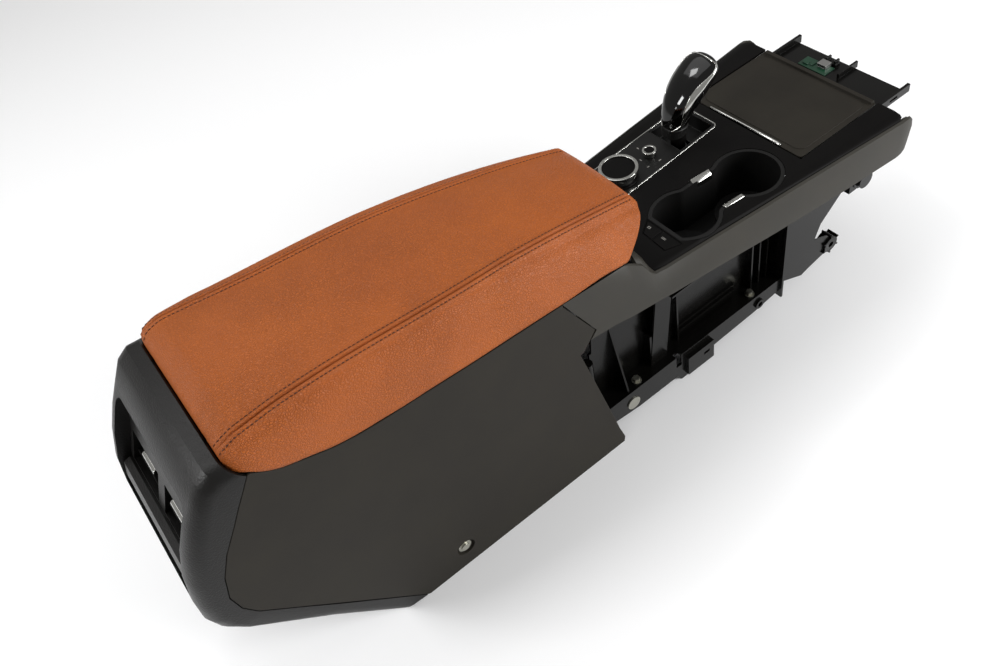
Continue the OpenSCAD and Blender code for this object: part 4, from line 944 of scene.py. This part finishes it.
@dataclass
class DeckDetails:
    """Plated rings, plates and handle of the deck, and the printed marks beside the knobs."""

    deck_z: float = 257.0
    large: Place = (-46.5, 146.0, 24.3, 14.6)
    little: Place = (-48.6, 198.0, 8.9, 8.9)
    plates: tuple[Place, ...] = (
        (24.4, 213.0, -4.0, 40.0), (82.0, 207.0, 176.0, 8.0))
    marks: tuple[Place, ...] = (
        (-69.4, 197.5, 3.6, 1.3), (-50.3, 184.8, 3.6, 1.3), (-32.7, 200.5, 1.3, 3.6),
        (-34.4, 182.6, 1.3, 3.2))

    def ring(self, name: str, at: Place, inner: float) -> bpy.types.Object:
        """A plated collar: a short tube flared towards its top, with a rolled rim.

        Args:
            name: the piece's name.
            at: middle x and y, outer radius and height.
            inner: its inner radius.

        Returns:
            The piece.
        """
        x, y, radius, height = at
        bpy.ops.object.select_all(action="DESELECT")
        low = self.deck_z + (2.1 if radius > 15 else 0.6)
        crown = 0.42 * height
        bpy.ops.mesh.primitive_cylinder_add(vertices=72, radius=radius * MM, depth=crown * MM,
                                            location=(x * MM, y * MM, (low + height - crown / 2) * MM))
        obj = bpy.context.object
        bpy.ops.object.mode_set(mode="EDIT")
        # The rolled crown stands out over a narrower foot
        self.pick_faces(obj, lambda n: n.z < -0.9)
        bpy.ops.mesh.inset(thickness=(radius - inner - 1.2) * MM)
        bpy.ops.mesh.extrude_region_move(TRANSFORM_OT_translate={"value": (0, 0, -(height - crown) * MM)})
        self.pick_faces(obj, lambda n: n.z < -0.9, largest=True)
        bpy.ops.mesh.inset(thickness=1.1 * MM)
        bpy.ops.mesh.delete(type="FACE")
        self.pick_faces(obj, lambda n: n.z > 0.9)
        bpy.ops.mesh.inset(thickness=(radius - inner) * MM)
        bpy.ops.mesh.delete(type="FACE")
        bpy.ops.object.mode_set(mode="OBJECT")
        self.close_holes(obj)
        modify(obj, "BEVEL", width=(0.055 * radius + 0.5) * MM, segments=5, angle_limit=math.radians(40))
        return settle(obj, name, 50)

    @staticmethod
    def close_holes(obj: bpy.types.Object) -> None:
        """Bridges the two open loops at the foot of a ring."""
        only(obj)
        bpy.ops.object.mode_set(mode="EDIT")
        bpy.ops.mesh.select_all(action="DESELECT")
        bpy.ops.mesh.select_non_manifold()
        bpy.ops.mesh.bridge_edge_loops()
        bpy.ops.mesh.select_all(action="SELECT")
        bpy.ops.mesh.normals_make_consistent(inside=False)
        bpy.ops.object.mode_set(mode="OBJECT")

    @staticmethod
    def pick_faces(obj: bpy.types.Object, test: Callable[[Vector], bool], largest: bool = False) -> None:
        """Selects the faces of an object in edit mode by their normal.

        Args:
            obj: the object in edit mode.
            test: takes a normal and says whether the face is wanted.
            largest: whether only the largest of them is selected.
        """
        bpy.ops.mesh.select_all(action="DESELECT")
        bm = bmesh.from_edit_mesh(obj.data)
        bm.select_mode = {"FACE"}
        bm.normal_update()
        wanted = [f for f in bm.faces if test(f.normal)]
        if largest:
            wanted = [max(wanted, key=lambda f: f.calc_area())]
        for face in wanted:
            face.select_set(True)
        bmesh.update_edit_mesh(obj.data)

    def plate(self, name: str, at: Place) -> bpy.types.Object:
        """A plated clip on the neck between the cups: a bent plate with rounded ends.

        Args:
            name: the piece's name.
            at: middle x and y, turn and slope in degrees.

        Returns:
            The piece.
        """
        x, y, turn, slope = at
        obj = add_box((x, y, self.deck_z - 5.6), (6.4, 29, 12.8))
        bpy.ops.object.mode_set(mode="EDIT")
        self.pick_faces(obj, lambda n: n.z > 0.9)
        # The top slopes down into the pocket, as wide as the clip
        pivot = ((x - 3.7) * MM, y * MM, (self.deck_z + 0.8) * MM)
        longer = 1 / math.cos(math.radians(slope))
        bpy.ops.transform.rotate(value=math.radians(-slope), orient_axis="Y", center_override=pivot)
        bpy.ops.transform.resize(value=(longer, 1, longer), center_override=pivot)
        bpy.ops.mesh.inset(thickness=0.9 * MM)
        bpy.ops.transform.translate(value=(0, 0, 0.35 * MM))
        bpy.ops.object.mode_set(mode="OBJECT")
        obj.rotation_euler = (0, 0, math.radians(turn))
        modify(obj, "BEVEL", width=0.8 * MM, segments=3, angle_limit=math.radians(30))
        return settle(obj, name, 40)

    def handle(self) -> bpy.types.Object:
        """The cover's handle: a slim bar, thickest near its passenger end, over a finger hollow."""
        bpy.ops.object.select_all(action="DESELECT")
        y = 314.0
        bpy.ops.mesh.primitive_cylinder_add(vertices=20, radius=2.0 * MM, depth=116 * MM,
                                            location=(-2 * MM, y * MM, (self.deck_z + 0.4) * MM),
                                            rotation=(0, math.pi / 2, 0))
        obj = bpy.context.object
        bpy.ops.object.transform_apply(location=True, rotation=True, scale=True)
        bpy.ops.object.mode_set(mode="EDIT")
        for cut in (-40, -20, 0, 20, 38, 50):
            bpy.ops.mesh.select_all(action="SELECT")
            bpy.ops.mesh.bisect(plane_co=(cut * MM, 0, 0), plane_no=(1, 0, 0))
        bpy.ops.object.mode_set(mode="OBJECT")
        taper = [(-60, 0.45), (-40, 0.55), (-20, 0.7), (0, 0.8), (20, 0.9), (38, 1.0), (50, 1.0), (56, 0.7)]
        for v in obj.data.vertices:
            k = float(smooth_table(taper, v.co.x / MM))
            v.co.y = y * MM + (v.co.y - y * MM) * k * 1.15
            v.co.z = (self.deck_z - 0.6) * MM + (v.co.z - (self.deck_z + 0.4) * MM) * k * 0.95 + k * 0.9 * MM
        modify(obj, "BEVEL", width=0.6 * MM, segments=3, angle_limit=math.radians(50))
        return settle(obj, "handle_bar", 60)

    def print_marks(self, name: str, marks: Sequence[Place]) -> bpy.types.Object:
        """Plain printed ticks, as a thin film of ink.

        Args:
            name: the piece's name.
            marks: middle x and y, width and height of each tick.

        Returns:
            The piece.
        """
        parts = []
        for x, y, wide, high in marks:
            obj = add_box((x, y, self.deck_z + 0.2), (wide, high, 0.16))
            bpy.ops.object.mode_set(mode="EDIT")
            self.pick_faces(obj, lambda n: n.z > 0.9)
            bpy.ops.mesh.inset(thickness=0.12 * MM)
            bpy.ops.object.mode_set(mode="OBJECT")
            parts.append(obj)
        return settle(join(parts), name, 30)

    def dress(self, wardrobe: Wardrobe) -> None:
        """Builds each detail and gives it its finish."""
        chrome = wardrobe.get(Finish.CHROME)
        finish_piece(self.ring("large_knob_ring", self.large, 20.2), "large_knob", chrome,
                     ["rotary_ring"])
        finish_piece(self.ring("little_knob_ring", self.little, 6.1), "little_knob", chrome,
                     ["small_ring"])
        for number, at in enumerate(self.plates):
            finish_piece(self.plate(f"cup_plate_{number}", at), "console", chrome, ["cup_trims"])
        finish_piece(self.handle(), "cover", chrome, ["cover_handle"])
        ink = wardrobe.get(Finish.INK)
        finish_piece(self.print_marks("panel_marks", self.marks), "console", ink)
        finish_piece(self.print_marks("inner_button_mark", [(43, 112.8, 4, 0.8), (43, 110.4, 4, 0.8),
                     (41.4, 111.6, 0.8, 1.8), (44.6, 111.6, 0.8, 1.8)]), "switch_inner", ink)
        finish_piece(self.print_marks("outer_button_mark", [(68, 111.2, 6, 0.8), (68, 109.6, 6, 0.8)]),
                     "switch_outer", ink)


# Camera, light and floor

@dataclass
class Studio:
    """Pale floor, soft light from above and behind, and the camera at the photograph's place."""

    place: Point = (0.61544, -0.37689, 0.99914)
    right: Point = (0.59462, 0.78515, -0.17313)
    up: Point = (-0.54963, 0.55412, 0.62519)
    back: Point = (0.5868, -0.27659, 0.76103)
    lens: float = 32.4

    def camera(self) -> None:
        """Adds the camera."""
        data = bpy.data.cameras.new("camera")
        data.lens, data.sensor_width = self.lens, 36.0
        data.clip_start, data.clip_end = 0.01, 50.0
        obj = bpy.data.objects.new("camera", data)
        bpy.context.scene.collection.objects.link(obj)
        turn = Matrix((self.right, self.up, self.back)).transposed().to_4x4()
        obj.matrix_world = Matrix.Translation(self.place) @ turn
        bpy.context.scene.camera = obj

    def light(self, name: str, place: Point, aim: Point, size: float, watts: float) -> None:
        """Adds a soft square light.

        Args:
            name: its name.
            place: where it hangs, in metres.
            aim: what it points at.
            size: its side in metres.
            watts: its power.
        """
        data = bpy.data.lights.new(name, "AREA")
        data.shape, data.size, data.energy = "SQUARE", size, watts
        obj = bpy.data.objects.new(name, data)
        bpy.context.scene.collection.objects.link(obj)
        obj.location = place
        obj.rotation_euler = (Vector(aim) - Vector(place)).to_track_quat("-Z", "Y").to_euler()

    def build(self, wardrobe: Wardrobe) -> None:
        """Sets up floor, light and camera."""
        self.camera()
        self.light("key", (1.9, 1.6, 1.15), (0, 0.1, 0.25), 1.2, 68)
        self.light("top", (-0.9, 0.2, 2.3), (0, 0, 0.25), 1.6, 10)
        self.light("rear", (-0.5, -2.1, 1.7), (0, -0.4, 0.3), 0.6, 30)
        # Two small ones for the highlights at tip and foot of the lever
        self.light("glint_tip", (-0.83, -0.14, 1.68), (-0.05, 0.28, 0.35), 0.28, 3)
        self.light("glint_foot", (-0.41, -1.27, 0.7), (-0.05, 0.25, 0.3), 0.16, 0.9)
        world = bpy.data.worlds.new("studio")
        world.use_nodes = True
        world.node_tree.nodes["Background"].inputs["Color"].default_value = (1.0, 0.985, 0.965, 1.0)
        world.node_tree.nodes["Background"].inputs["Strength"].default_value = 0.4
        bpy.context.scene.world = world
        bpy.context.scene.view_settings.view_transform = "Standard"
        bpy.ops.object.select_all(action="DESELECT")
        bpy.ops.mesh.primitive_plane_add(size=12)
        floor = settle(bpy.context.object, "studio_floor", None)
        paper = bpy.data.materials.new("pale_paper")
        paper.use_nodes = True
        shade = paper.node_tree.nodes["Principled BSDF"]
        shade.inputs["Base Color"].default_value = (0.96, 0.965, 0.975, 1)
        shade.inputs["Roughness"].default_value = 0.9
        floor.data.materials.append(paper)


def main() -> None:
    """Builds the scene in order and reports each piece."""
    logging.basicConfig(level=logging.INFO, format="%(name)s: %(message)s")
    wardrobe = Wardrobe()
    Studio().build(wardrobe)
    dress_nodes(wardrobe)
    Cushion().dress(wardrobe)
    Lever().dress(wardrobe)
    DeckDetails().dress(wardrobe)


if __name__ == "__main__":
    main()
